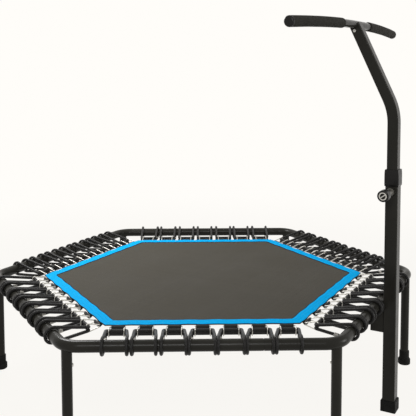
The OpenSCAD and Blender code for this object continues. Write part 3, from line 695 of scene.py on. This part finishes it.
class CordShape:
    """The lines of one ring and its cord, in a side's frame with the ring's middle at Y = 0."""

    def __init__(self, s, mat, side=1):
        self.s = s
        self.even = side in EVEN_SIDES
        self.clip_place = s.front_clip_place if side == FRONT else s.clip_place
        turn_gap = s.even_turn_gap if self.even else s.turn_gap
        self.apothem = (s.corner_r - s.bend_r) * COS_30 + s.bend_r
        self.mat_apothem = mat.mat_r * COS_30
        self.bar_x = self.mat_apothem + s.bar_out
        self.eye_x = self.bar_x + s.eye_reach
        self.cord_r, self.wire_r, self.tube_r = s.cord_d / 2, s.wire_d / 2, s.tube_d / 2
        self.run_z = self.cord_r + s.slide_gap / 2
        self.eye_r = self.cord_r + s.slide_gap + self.wire_r
        self.turn_r = self.tube_r + s.slide_gap + self.cord_r + TURN_AIR
        self.corner_y = s.eye_gap / 2 + self.wire_r + s.slide_gap + s.cord_bend_r
        out = Vector((self.apothem - self.eye_x, turn_gap / 2 - self.corner_y))
        self.plan, self.plan_len = out.normalized(), out.length
        self.rises = {sign: self.rise(self.run_z - sign * s.ring_drop) for sign in (1, -1)}

    def rise(self, height):
        """The angle at which a run from that height touches its turn round the frame tube."""
        reach = math.hypot(self.plan_len, height)
        return math.asin(self.turn_r / reach) - math.atan2(height, self.plan_len)

    def strand(self, sign, end):
        """The foot at a ring and the direction of an upper (1) or lower (-1) run, at its +Y or -Y end."""
        level = math.cos(self.rises[sign])
        foot = Vector((self.eye_x, end * self.corner_y, sign * self.run_z - self.s.ring_drop))
        return foot, Vector((self.plan.x * level, end * self.plan.y * level,
                             sign * math.sin(self.rises[sign])))

    def clip_middle(self):
        """The clip's middle on the lower run at the -Y end, and that run's direction."""
        foot, way = self.strand(-1, -1)
        reach = math.hypot(self.plan_len, self.run_z + self.s.ring_drop)
        return foot + way * math.sqrt(reach ** 2 - self.turn_r ** 2) * self.clip_place, way

    def turn(self, steps=22):
        """The turn round the frame tube at the +Y end, from the upper run to the lower one."""
        first, last = math.pi / 2 + self.rises[1], -math.pi / 2 - self.rises[-1]
        for i in range(steps + 1):
            a = first + (last - first) * i / steps
            out = self.plan_len + self.turn_r * math.cos(a)
            yield Vector((self.eye_x + self.plan.x * out, self.corner_y + self.plan.y * out,
                          self.turn_r * math.sin(a)))

    def cord(self):
        """One cord from its clip, round both ends and back to its clip."""
        flip = Vector((1, -1, 1))
        ring_end = {}
        for sign in (1, -1):
            (near, near_way), (far, far_way) = (self.strand(sign, end) for end in (-1, 1))
            bent = rounded([near + near_way * RUN_STUB, near, far, far + far_way * RUN_STUB],
                           self.s.cord_bend_r, 7)
            ring_end[sign] = bent[1:-1]
        clip = self.clip_middle()[0]
        far = list(self.turn())
        near = [p * flip for p in reversed(far)]
        path = [clip] + self.spread(clip, near[0])
        path += near + self.spread(near[-1], ring_end[1][0]) + ring_end[1]
        path += self.spread(ring_end[1][-1], far[0]) + far
        path += self.spread(far[-1], ring_end[-1][-1]) + list(reversed(ring_end[-1]))
        path += self.spread(ring_end[-1][0], clip) + [clip]
        tidy = [path[0]]
        for p in path[1:]:
            if (p - tidy[-1]).length > LEAST_STEP:
                tidy.append(p)
        return tidy

    @staticmethod
    def spread(a, b, every=0.012):
        """Points between two ends."""
        n = max(1, round((b - a).length / every))
        return [a.lerp(b, i / n) for i in range(1, n)]

    def clip(self, turns=5, steps=14):
        """The coil of wire that holds the cord's two ends together."""
        middle, way = self.clip_middle()
        across = way.cross(Vector((0, 0, 1))).normalized()
        over = across.cross(way)
        r = self.cord_r + self.s.clip_wire * CLIP_STAND
        long = self.s.clip_len - self.s.clip_wire
        for i in range(turns * steps + 1):
            a = 2 * math.pi * i / steps
            around = (across * math.cos(a) + over * math.sin(a)) * r
            yield middle + way * long * (i / (turns * steps) - 0.5) + around

    def ring(self):
        """The closed wire of one ring: two inner bars and an eye at each end."""
        rise = self.run_z - self.s.bar_gap / 2
        angle = math.asin(self.eye_r / math.hypot(self.s.eye_reach, rise))
        angle += math.atan2(rise, self.s.eye_reach)
        turns = [(math.pi / 2 + angle) * i / EYE_STEPS for i in range(EYE_STEPS, -1, -1)]
        eye = [(self.bar_x, self.s.bar_gap / 2)]
        eye += [(self.eye_x + self.eye_r * math.cos(a), self.run_z + self.eye_r * math.sin(a))
                for a in turns]
        eye += [(x, -z) for x, z in reversed(eye)]
        half = self.s.eye_gap / 2
        one = [Vector((x, half, z - self.s.ring_drop)) for x, z in eye]
        other = [Vector((x, -half, z - self.s.ring_drop)) for x, z in reversed(eye)]
        return self.soft_bars(one) + self.soft_bars(other)

    def soft_bars(self, eye):
        """An eye's line with its two bends into the inner bars rounded."""
        inward = -1 if eye[0].y > 0 else 1
        bar = Vector((0, inward * BAR_STUB, 0))
        first = rounded([eye[0] + bar, eye[0], eye[1]], BAR_BEND, 5)[:-1]
        last = rounded([eye[-2], eye[-1], eye[-1] + bar], BAR_BEND, 5)[1:]
        return first + eye[1:-1] + last


def tube_mesh(name, rows, uvs, sharp, closed=False):
    """A mesh of quads through closed rows of points, with a UV for each point, filled ends unless the
    rows close in a ring, and edges over an angle in degrees kept sharp."""
    mesh = bpy.data.meshes.new(name)
    wide, high = len(rows[0]), len(rows)
    quads = [((i, j), (i, j + 1), (i + 1, j + 1), (i + 1, j))
             for i in range(high if closed else high - 1) for j in range(wide)]
    mesh.from_pydata([tuple(p) for row in rows for p in row], [],
                     [[i % high * wide + j % wide for i, j in quad] for quad in quads])
    layer = mesh.uv_layers.new(name="UVMap")
    layer.data.foreach_set("uv", [x for quad in quads for spot in quad for x in uvs(*spot)])
    mesh.shade_smooth()
    made = bmesh.new()
    made.from_mesh(mesh)
    bmesh.ops.holes_fill(made, edges=[e for e in made.edges if e.is_boundary])
    bmesh.ops.recalc_face_normals(made, faces=made.faces)
    ended(made, mesh).set_sharp_from_angle(angle=math.radians(sharp))
    return mesh


def ended(made, mesh):
    """The mesh that takes over what was made."""
    made.to_mesh(mesh)
    made.free()
    return mesh


def joined(name, meshes):
    """Several meshes as one."""
    made = bmesh.new()
    for mesh in meshes:
        made.from_mesh(mesh)
        bpy.data.meshes.remove(mesh)
    return ended(made, bpy.data.meshes.new(name))


# Operators

class Maker:
    """What every operator of this add-on does: it builds its pieces and ends."""

    def execute(self, context):
        self.build(context.scene)
        return {"FINISHED"}


# Name, place, target, watts, and width and height of each lamp
LAMPS = (("key_softbox", (-1.0, 0.2, 1.5), (-0.2, 0.0, 0.3), 22.0, (0.5, 0.7)),
         ("front_softbox", (1.3, -2.7, 1.9), (0.3, 0.0, 0.5), 36.0, (1.4, 0.8)),
         ("side_softbox", (2.9, 0.9, 0.75), (0.5, 0.0, 0.6), 26.0, (0.7, 1.3)))
SKY_LIGHT = (1.0, 0.99, 0.975, 1.0)
SEEN_WHITE = (1.0, 0.982, 0.947, 1.0)   # the background as the camera sees it
SENSOR_WIDTH = 36.0
NEAREST, FARTHEST = 0.05, 100.0
FLOOR_SIDES = 96
FLOOR_FADE = (1.0, 3.0, 0.93, 1.0)      # two distances, and the share of plain white at each


class TRAMPOLINE_OT_stage(Maker, Operator):
    """Makes the floor, the light and the camera"""
    bl_idname = "trampoline.stage"
    bl_label = "Stage"

    def build(self, scene):
        s = scene.trampoline_stage
        scene.view_settings.view_transform = "Standard"
        self.floor(s, scene.trampoline_colours)
        self.sky(scene, s)
        for lamp in LAMPS:
            self.lamp(*lamp)
        self.camera(scene, s)

    def camera(self, scene, s):
        camera = new_object("photo_camera", bpy.data.cameras.new("photo_camera"))
        camera.data.lens, camera.data.sensor_width = s.lens, SENSOR_WIDTH
        camera.data.shift_x, camera.data.shift_y = s.shift
        camera.data.clip_start, camera.data.clip_end = NEAREST, FARTHEST
        ahead = Vector((-math.sin(s.turn) * math.cos(s.dip), math.cos(s.turn) * math.cos(s.dip),
                        -math.sin(s.dip)))
        right = Vector((math.cos(s.turn), math.sin(s.turn), 0.0))
        over = right.cross(ahead)
        aim = Matrix((right, over, -ahead)).transposed().to_4x4()
        camera.matrix_world = Matrix.Translation(s.eye) @ aim
        scene.camera = camera

    def lamp(self, name, place, target, watts, size):
        light = bpy.data.lights.new(name, "AREA")
        light.shape, light.size, light.size_y, light.energy = "RECTANGLE", size[0], size[1], watts
        lamp = new_object(name, light)
        lamp.location = place
        lamp.rotation_mode = "QUATERNION"
        lamp.rotation_quaternion = (Vector(target) - Vector(place)).to_track_quat("-Z", "Y")

    def sky(self, scene, s):
        """Even light from all round; the camera and shiny surfaces see plain white."""
        scene.world = bpy.data.worlds.new("studio")
        t = cleared(scene.world)
        light = result(t, "ShaderNodeBackground", {0: SKY_LIGHT, 1: s.sky})
        white = result(t, "ShaderNodeBackground", {0: SEEN_WHITE, 1: 1.0})
        both = result(t, "ShaderNodeMixShader", {0: in_sight(t), 1: light, 2: white})
        add(t, "ShaderNodeOutputWorld", {0: both})

    def floor(self, s, colours):
        """A wide pale disc that fades to the background's white, and keeps the shadow."""
        made = bmesh.new()
        bmesh.ops.create_circle(made, cap_ends=True, segments=FLOOR_SIDES, radius=s.floor_r)
        mesh = ended(made, bpy.data.meshes.new("floor"))
        material = bpy.data.materials.new("pale_floor")
        t = cleared(material)
        place = result(t, "ShaderNodeTexCoord", output="Object")
        away = result(t, "ShaderNodeVectorMath", {0: place}, "Value", operation="LENGTH")
        white_share = away.between(*FLOOR_FADE, "SMOOTHSTEP") * in_sight(t)
        speckle = result(t, "ShaderNodeTexNoise", {"Vector": place, "Scale": 40.0}, "Fac")
        base = tuple(colours.ground)
        pale = mixed(t, speckle.between(*NOISE_SPAN), shaded(base, 0.985), base)
        ground = result(t, "ShaderNodeBsdfDiffuse", {0: pale})
        white = result(t, "ShaderNodeEmission", {0: SEEN_WHITE, 1: 1.0})
        both = result(t, "ShaderNodeMixShader", {0: white_share, 1: ground, 2: white})
        add(t, "ShaderNodeOutputMaterial", {0: both})
        mesh.materials.append(material)
        new_object("floor", mesh)


class Stringer(Maker):
    """Strings one kind of wire along all six sides."""

    def build(self, scene):
        for k in SIDES:
            string_side(scene, k, self.kind)


class TRAMPOLINE_OT_cords(Stringer, Operator):
    """Strings the bungee cords between the rings and the frame tube"""
    bl_idname = "trampoline.cords"
    bl_label = "Bungee cords"
    kind = "cord"


class TRAMPOLINE_OT_clips(Stringer, Operator):
    """Closes each cord with a coil of plated wire"""
    bl_idname = "trampoline.clips"
    bl_label = "Cord clips"
    kind = "clip"


class TRAMPOLINE_OT_rings(Stringer, Operator):
    """Bends the plated wire rings"""
    bl_idname = "trampoline.rings"
    bl_label = "Wire rings"
    kind = "ring"


RING_CLEAR = 0.006          # the cords' uneven part starts this far outside the eyes


def string_side(scene, k, kind):
    """The cords, clips or rings of one side, as one piece."""
    s = scene.trampoline_cords
    shape = CordShape(s, scene.trampoline_mat, k)
    loose = kind != "ring"      # the rings lie evenly, and keep to the mat
    play = (s.even_turn_play if shape.even else s.turn_play) if loose else 0.0
    gather = s.front_gather if loose and k == FRONT else 0.0
    tube_in = shape.apothem - shape.tube_r
    name, slot, line, thick, sides, node = {
        "cord": (f"bungee_cords_{k}", "cord_cover", shape.cord, s.cord_d, 10, f"bungee_side_{k}"),
        "clip": (f"cord_clips_{k}", "plated_steel", shape.clip, s.clip_wire, 6, "cord_clips"),
        "ring": (f"wire_rings_{k}", "plated_steel", shape.ring, s.wire_d, 9, f"rings_side_{k}"),
    }[kind]
    guide = guide_line(name, list(line()), closed=not loose)
    mesh = tree_for(strung_wires).mesh(
        name, guide, wire_diameter=thick, wire_sides=sides, count=s.rings, pitch=s.pitch,
        seed=s.seed + k, play=play, gather=gather, ring_end=shape.eye_x + RING_CLEAR, tube_end=tube_in,
        finish=finish_for(slot))
    place = side_place(k)
    mesh.transform(place)
    piece = new_piece(name, mesh, slot)
    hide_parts(node)
    if loose:
        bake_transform(piece)
    else:
        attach(piece, "mat")


def on_mat(name, mesh, slot, node):
    """A piece that stands for a node and moves with the mat."""
    piece = new_piece(name, mesh, slot)
    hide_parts(node)
    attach(piece, "mat")
    return piece


def sew(name, lines, s, thread, closeness=1.0):
    """Stitches along lines, as one piece with the finish of their thread."""
    mesh = tree_for(sewn_lines).mesh(name, guide_line(name, *lines), stitch=s.stitch, thread=s.thread,
                                     pitch=s.stitch_pitch * closeness, finish=finish_for(thread))
    stitches = new_piece(name, mesh)
    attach(stitches, "mat")


MAT_STEPS = 44              # steps along the edges of each sixth of the mat
CLOTH_SHARE = 0.9           # the cloth's share of the mat's thickness
DRAW_REACH = 0.06           # how far from the edge the mat is drawn in
MAT_WAVE = 0.0002           # unevenness of the mat
EDGE_AIR = 0.0001           # the cloth ends this far inside the mat's outline


class TRAMPOLINE_OT_mat(Maker, Operator):
    """Weaves the jump mat"""
    bl_idname = "trampoline.mat"
    bl_label = "Jump mat"

    def build(self, scene):
        s, cords = scene.trampoline_mat, scene.trampoline_cords
        apothem = s.mat_r * COS_30
        corners = [Vector((math.cos(a), math.sin(a), 0)) * s.mat_r
                   for a in (math.radians(60 * k + 30) for k in range(6))]
        known = {}
        made = bmesh.new()

        def face(a, b, *spots):
            """A face of one of the six sectors, from steps along its two edges."""
            verts = []
            for i, j in spots:
                flat = (a * i + b * j) / MAT_STEPS
                key = (round(flat.x, 6), round(flat.y, 6))
                if key not in known:
                    known[key] = made.verts.new(self.drawn(flat, s, cords, apothem))
                verts.append(known[key])
            made.faces.new(verts)

        for k in range(6):
            a, b = corners[k], corners[(k + 1) % 6]
            for i in range(MAT_STEPS):
                for j in range(MAT_STEPS - i):
                    face(a, b, (i, j), (i + 1, j), (i, j + 1))
                    if i + j < MAT_STEPS - 1:
                        face(a, b, (i + 1, j), (i + 1, j + 1), (i, j + 1))
        rim = [e for e in made.edges if e.is_boundary]
        lower = bmesh.ops.duplicate(made, geom=made.verts[:] + made.edges[:] + made.faces[:])
        twin = lower["vert_map"]
        for g in lower["geom"]:
            if isinstance(g, bmesh.types.BMVert):
                g.co.z -= s.mat_t * CLOTH_SHARE
        faces = [g for g in lower["geom"] if isinstance(g, bmesh.types.BMFace)]
        bmesh.ops.reverse_faces(made, faces=faces)
        for e in rim:
            a, b = e.verts
            made.faces.new((b, a, twin[a], twin[b]))
        bmesh.ops.recalc_face_normals(made, faces=made.faces)
        mesh = ended(made, bpy.data.meshes.new("jump_mat_cloth"))
        mesh.shade_smooth()
        mesh.set_sharp_from_angle(angle=math.radians(50))
        mesh.transform(Matrix.Translation(MAT_MIDDLE))
        cloth = on_mat("jump_mat_cloth", mesh, "mat_fabric", "jump_mat")

    @staticmethod
    def drawn(flat, s, cords, apothem):
        """A point of the mat, with the edge drawn in between the tabs and a faint unevenness."""
        p = Vector((flat.x, flat.y, s.mat_t * CLOTH_SHARE / 2))
        turn = round(math.atan2(flat.y, flat.x) / math.radians(60)) * math.radians(60)
        out = Vector((math.cos(turn), math.sin(turn), 0))
        along = Vector((-out.y, out.x, 0))
        near = max(0.0, 1 - (apothem - flat.dot(out)) / DRAW_REACH)
        p -= out * edge_draw(flat.dot(along), s.scallop, cords.pitch) * near ** 2
        p.z += MAT_WAVE * noise.noise(Vector((flat.x * 9, flat.y * 9, 3.1))) * (1 - near)
        return p


def edge_draw(along, depth, pitch):
    """How far the mat's edge draws in at a place along its side: nothing at a tab, most between two."""
    return depth * (0.5 - 0.5 * math.cos(2 * math.pi * along / pitch)) + EDGE_AIR


STRIP_ROWS, STRIP_COLUMNS, UNDER_COLUMNS = 120, 22, 4
SEAMS = (0.1, 0.37, 0.63, 0.9)          # places of the stitch lines across the border
SEAM_WIDTH, SEAM_DEPTH = 0.035, 0.22    # their grooves, as shares of its width and thickness
SEAM_START = 3                          # rows from a strip's end to the first stitch
MITRE_SEAM = (0.04, 0.35, 0.65, 0.96)   # places of the stitches across a mitred end
MITRE_INSET = Vector((0, -0.0022, 0.0001))
MITRE_AIR = 0.0001
BORDER_BED = 0.42                       # the border lies this high, as a share of the mat's thickness
BORDER_RIPPLE, BORDER_WAVE = 0.0005, 0.0001
INNER_DRAW = 0.75                       # how far its inner edge follows the drawn-in outer one
CROWN_POWER, CROWN_DROP = 6, 0.6        # how late and how far it thins towards its edges


class TRAMPOLINE_OT_border(Maker, Operator):
    """Sews the blue border webbing on the mat"""
    bl_idname = "trampoline.border"
    bl_label = "Border webbing"

    def build(self, scene):
        s, cords = scene.trampoline_mat, scene.trampoline_cords
        strips, lines = [], []
        for k in SIDES:
            strips.append(self.strip(s, cords, k))
            place = side_place(k)
            for across in SEAMS:
                lines.append([place @ self.point(s, cords, k, i / STRIP_ROWS, across, 1.0)
                              for i in range(SEAM_START, STRIP_ROWS - SEAM_START + 1)])
            lines.append([place @ (self.point(s, cords, k, 1.0, across, 1.0) + MITRE_INSET)
                          for across in MITRE_SEAM])
        border = on_mat("border_webbing_strips", joined("border_webbing_strips", strips),
                        "border_fabric", "border_webbing")
        sew("border_stitches", lines, s, "border_thread")

    @staticmethod
    def point(s, cords, k, along, across, over):
        """A point of a strip's upper (over = 1) or lower (over = 0) face, in its side's frame."""
        x = s.mat_r * COS_30 - s.band_w * (1 - across)
        y = (2 * along - 1) * (x * TAN_30 - MITRE_AIR)
        wave = edge_draw(y, s.scallop, cords.pitch)
        ripple = BORDER_RIPPLE * noise.noise(Vector((y * 30, k * 7.3, 0.5)))
        x += -wave * (INNER_DRAW + (1 - INNER_DRAW) * across) + ripple * (1 - across)
        crown = 1 - abs(2 * across - 1) ** CROWN_POWER * CROWN_DROP
        sewn = sum(math.exp(-((across - seam) / SEAM_WIDTH) ** 2) for seam in SEAMS)
        uneven = BORDER_WAVE * noise.noise(Vector((y * 60, across * 5, k)))
        thick = s.band_t * (crown - SEAM_DEPTH * sewn) + uneven
        return Vector((x, y, s.mat_t * BORDER_BED + over * thick))

    def strip(self, s, cords, k):
        """One strip, closed all round, with mitred ends."""
        spots = [(j / STRIP_COLUMNS, 1.0) for j in range(STRIP_COLUMNS + 1)]
        spots += [(j / UNDER_COLUMNS, 0.0) for j in range(UNDER_COLUMNS, -1, -1)]
        grid = [[self.point(s, cords, k, i / STRIP_ROWS, *spot) for spot in spots]
                for i in range(STRIP_ROWS + 1)]
        mesh = tube_mesh("strip", grid, lambda i, j: (grid[i][0].y, spots[j % len(spots)][0]), 55)
        mesh.transform(side_place(k))
        return mesh


TAB_COLUMNS = 9
TAB_SEAMS = (0.004, 0.013, 0.022)       # distances of the zigzag stitch lines from the mat's edge
ZIGZAG, ZIGZAG_STEPS, ZIGZAG_SHARE = 0.0012, 12, 0.84   # half their width, steps, and share of a tab
ZIGZAG_CLOSENESS = 0.75                 # pitch of their stitches, as a share of the border's
TAB_LIFT = 0.006                        # a tab leaves the mat this far from the edge
TAB_WANDER = 0.0004
SELVEDGE_POWER, SELVEDGE_DROP = 8, 0.7  # how late and how far a tab thins towards its edges


class TRAMPOLINE_OT_tabs(Maker, Operator):
    """Folds the webbing tabs round the rings"""
    bl_idname = "trampoline.tabs"
    bl_label = "Webbing tabs"

    def build(self, scene):
        s, cords = scene.trampoline_mat, scene.trampoline_cords
        shape = CordShape(cords, s)
        path = self.path(s, cords, shape)
        runs = [0.0]
        for a, b in zip(path, path[1:]):
            runs.append(runs[-1] + (b - a).length)
        tabs, lines = [], []
        low = -s.mat_t / 2 - s.tab_t
        for k in SIDES:
            place = side_place(k)
            for i in range(cords.rings):
                y = (i - (cords.rings - 1) / 2) * cords.pitch
                tabs.append(self.tab(s, path, runs, y, k * 10 + i, place))
                for inward in TAB_SEAMS:
                    zigzag = self.zigzag(shape.mat_apothem - inward, y, low, s.tab_w)
                    lines.append([place @ p for p in zigzag])
        piece = on_mat("webbing_tab_loops", joined("webbing_tab_loops", tabs), "tab_fabric",
                       "webbing_tabs")
        sew("tab_stitches", lines, s, "tab_thread", ZIGZAG_CLOSENESS)

    @staticmethod
    def zigzag(x, y, z, width):
        """The points of one stitch line across a tab."""
        for j in range(ZIGZAG_STEPS + 1):
            yield Vector((x + (ZIGZAG if j % 2 else -ZIGZAG),
                          y + (j / ZIGZAG_STEPS - 0.5) * width * ZIGZAG_SHARE, z))

    @staticmethod
    def path(s, cords, shape):
        """The middle of a tab's webbing, from its tail under the mat round both bars of a ring."""
        r = cords.wire_d / 2 + cords.slide_gap + s.tab_t / 2
        half = cords.bar_gap / 2
        low = -s.mat_t / 2 - s.tab_t / 2
        bars = Vector((shape.bar_x, 0, -cords.ring_drop))

        def arc(first, z, spots):
            """A bend round one bar, at spots after its first angle."""
            turns = [math.radians(first + a) for a in spots]
            return [bars + Vector((r * math.cos(a), 0, z + r * math.sin(a))) for a in turns]

        path = [Vector((shape.mat_apothem - s.tab_tail + (s.tab_tail - TAB_LIFT) * i / 5, 0, low))
                for i in range(6)]
        sag = bars + Vector((-r * 0.55, 0, -half - r * 0.8))
        path += [path[-1].lerp(sag, 0.5) + Vector((0, 0, 0.0002)), sag]
        path += arc(-90, -half, range(0, 91, 15)) + arc(0, half, range(0, 91, 15))
        path += arc(90, half, range(18, 91, 18))
        path += [bars + Vector((-r, 0, half * (1 - 2 * i / 3))) for i in (1, 2)]
        return path

    @staticmethod
    def tab(s, path, runs, y, seed, place):
        """One tab: the webbing's thickness and its rounded selvedges along the folded path."""
        shares = [j / (TAB_COLUMNS - 1) for j in range(TAB_COLUMNS)]
        spots = [(share, 1) for share in shares] + [(share, -1) for share in reversed(shares)]
        rows = []
        for i, p in enumerate(path):
            way = (path[min(i + 1, len(path) - 1)] - path[max(i - 1, 0)]).normalized()
            face = Vector((0, 1, 0)).cross(way).normalized()
            wander = TAB_WANDER * noise.noise(Vector((runs[i] * 40, seed * 3.7, 1.0)))
            rows.append([])
            for share, over in spots:
                across = share * 2 - 1
                thick = s.tab_t / 2 * (1 - abs(across) ** SELVEDGE_POWER * SELVEDGE_DROP)
                aside = Vector((0, y + across * s.tab_w / 2 + wander, 0))
                rows[-1].append(p + face * over * thick + aside)
        mesh = tube_mesh("tab", rows, lambda i, j: (runs[i], spots[j % len(spots)][0]), 60)
        mesh.transform(place)
        return mesh


GRIP_STEPS, GRIP_SIDES = 64, 40
BORE_AIR = 0.0001
SKIN_WAVE = 0.00018         # unevenness of the foam's skin


class TRAMPOLINE_OT_grips(Maker, Operator):
    """Slides the foam grips on the handlebar"""
    bl_idname = "trampoline.grips"
    bl_label = "Foam grips"

    def build(self, scene):
        s = scene.trampoline_grips
        for sign, name in ((-1, "left"), (1, "right")):
            grip = new_piece(f"foam_grip_{name}", self.grip(s, sign), "grip_foam")
            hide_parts(f"grip_{name}")
            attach(grip, "handle")

    @staticmethod
    def grip(s, sign):
        """A sleeve along the bar's sweep, with rounded ends and a slightly uneven skin."""
        sweep_r = ((s.handle_w / 2) ** 2 + s.bar_sag ** 2) / (2 * s.bar_sag)
        place = Matrix.Translation(s.middle) @ Matrix.Rotation(-s.sag_angle, 4, "Y")
        place = place @ Matrix.Translation((-sweep_r, 0, 0))
        first = math.asin(s.grip_gap / 2 / sweep_r)
        last = math.asin((s.handle_w / 2 - s.cap_t) / sweep_r)
        run, r, bore, edge = (last - first) * sweep_r, s.grip_d / 2, s.bar_d / 2 + BORE_AIR, s.round_r
        end = [(0.0, bore), (0.0, (bore + r - edge) / 2)]
        end += [(edge * (1 - math.cos(a)), r - edge + edge * math.sin(a))
                for a in (math.radians(d) for d in range(0, 91, 15))]
        stations = end + [(edge + (run - 2 * edge) * i / GRIP_STEPS, r) for i in range(1, GRIP_STEPS)]
        stations += [(run - x, high) for x, high in reversed(end)]
        rows = []
        for x, high in stations:
            turn = Matrix.Rotation(sign * (first + x / sweep_r), 4, "Z")
            rows.append([])
            for j in range(GRIP_SIDES):
                a = 2 * math.pi * j / GRIP_SIDES
                x_way, z_way = math.cos(a), math.sin(a)
                skin = SKIN_WAVE * noise.noise(Vector((x * 22, x_way * 1.2, sign * 5 + z_way * 1.2)))
                out = high + (skin if high > r - edge * 0.5 else 0.0)
                rows[-1].append(place @ (turn @ Vector((sweep_r + out * x_way, 0, out * z_way))))
        return tube_mesh("foam_grip", rows,
                         lambda i, j: (stations[i % len(stations)][0], j / GRIP_SIDES), 60, closed=True)


class TRAMPOLINE_OT_finishes(Maker, Operator):
    """Gives the steel, rubber and plastic pieces their finishes"""
    bl_idname = "trampoline.finishes"
    bl_label = "Finishes"

    def build(self, scene):
        def numbered(stem):
            return [f"{stem}_{k}" for k in SIDES]

        dress(numbered("frame_section") + numbered("leg")
              + ["post_bracket", "lower_post", "weld_nut", "upper_post", "handlebar"], "frame_paint")
        dress(numbered("leg_foot") + ["post_foot"], "foot_rubber")
        dress(["post_collar", "post_glide", "grip_cap_left", "grip_cap_right", "lock_knob"],
              "black_plastic")
        dress(["leg_bolts", "bracket_bolts", "handlebar_screw", "lock_pin", "knob_ring", "lock_spring"],
              "plated_steel")
        dress(["pin_barrel"], "dark_plated_steel")


class TRAMPOLINE_PT_panel(Panel):
    """Lists the pieces and their sizes"""
    bl_idname = "TRAMPOLINE_PT_panel"
    bl_label = "Mini trampoline"
    bl_space_type = "VIEW_3D"
    bl_region_type = "UI"
    bl_category = "Trampoline"

    def draw(self, context):
        for operator in OPERATORS:
            self.layout.operator(operator.bl_idname)
        for group in GROUPS:
            sizes = getattr(context.scene, "trampoline_" + group)
            box = self.layout.box()
            box.label(text=group.capitalize())
            for name in type(sizes).__annotations__:
                box.prop(sizes, name)


GROUPS = {"cords": CordSizes, "mat": MatSizes, "grips": GripSizes, "colours": Colours,
          "stage": StageSizes}
OPERATORS = (TRAMPOLINE_OT_stage, TRAMPOLINE_OT_cords, TRAMPOLINE_OT_clips, TRAMPOLINE_OT_rings,
             TRAMPOLINE_OT_mat, TRAMPOLINE_OT_border, TRAMPOLINE_OT_tabs, TRAMPOLINE_OT_grips,
             TRAMPOLINE_OT_finishes)


def register():
    for group in (*GROUPS.values(), *OPERATORS, TRAMPOLINE_PT_panel):
        bpy.utils.register_class(group)
    for name, group in GROUPS.items():
        setattr(bpy.types.Scene, "trampoline_" + name, PointerProperty(type=group))


def unregister():
    for name in GROUPS:
        delattr(bpy.types.Scene, "trampoline_" + name)
    for group in reversed((*GROUPS.values(), *OPERATORS, TRAMPOLINE_PT_panel)):
        bpy.utils.unregister_class(group)


def main():
    register()
    for operator in OPERATORS:
        family, name = operator.bl_idname.split(".")
        if getattr(getattr(bpy.ops, family), name)() != {"FINISHED"}:
            raise RuntimeError(operator.bl_label + " didn't finish")


if __name__ == "__main__":
    main()
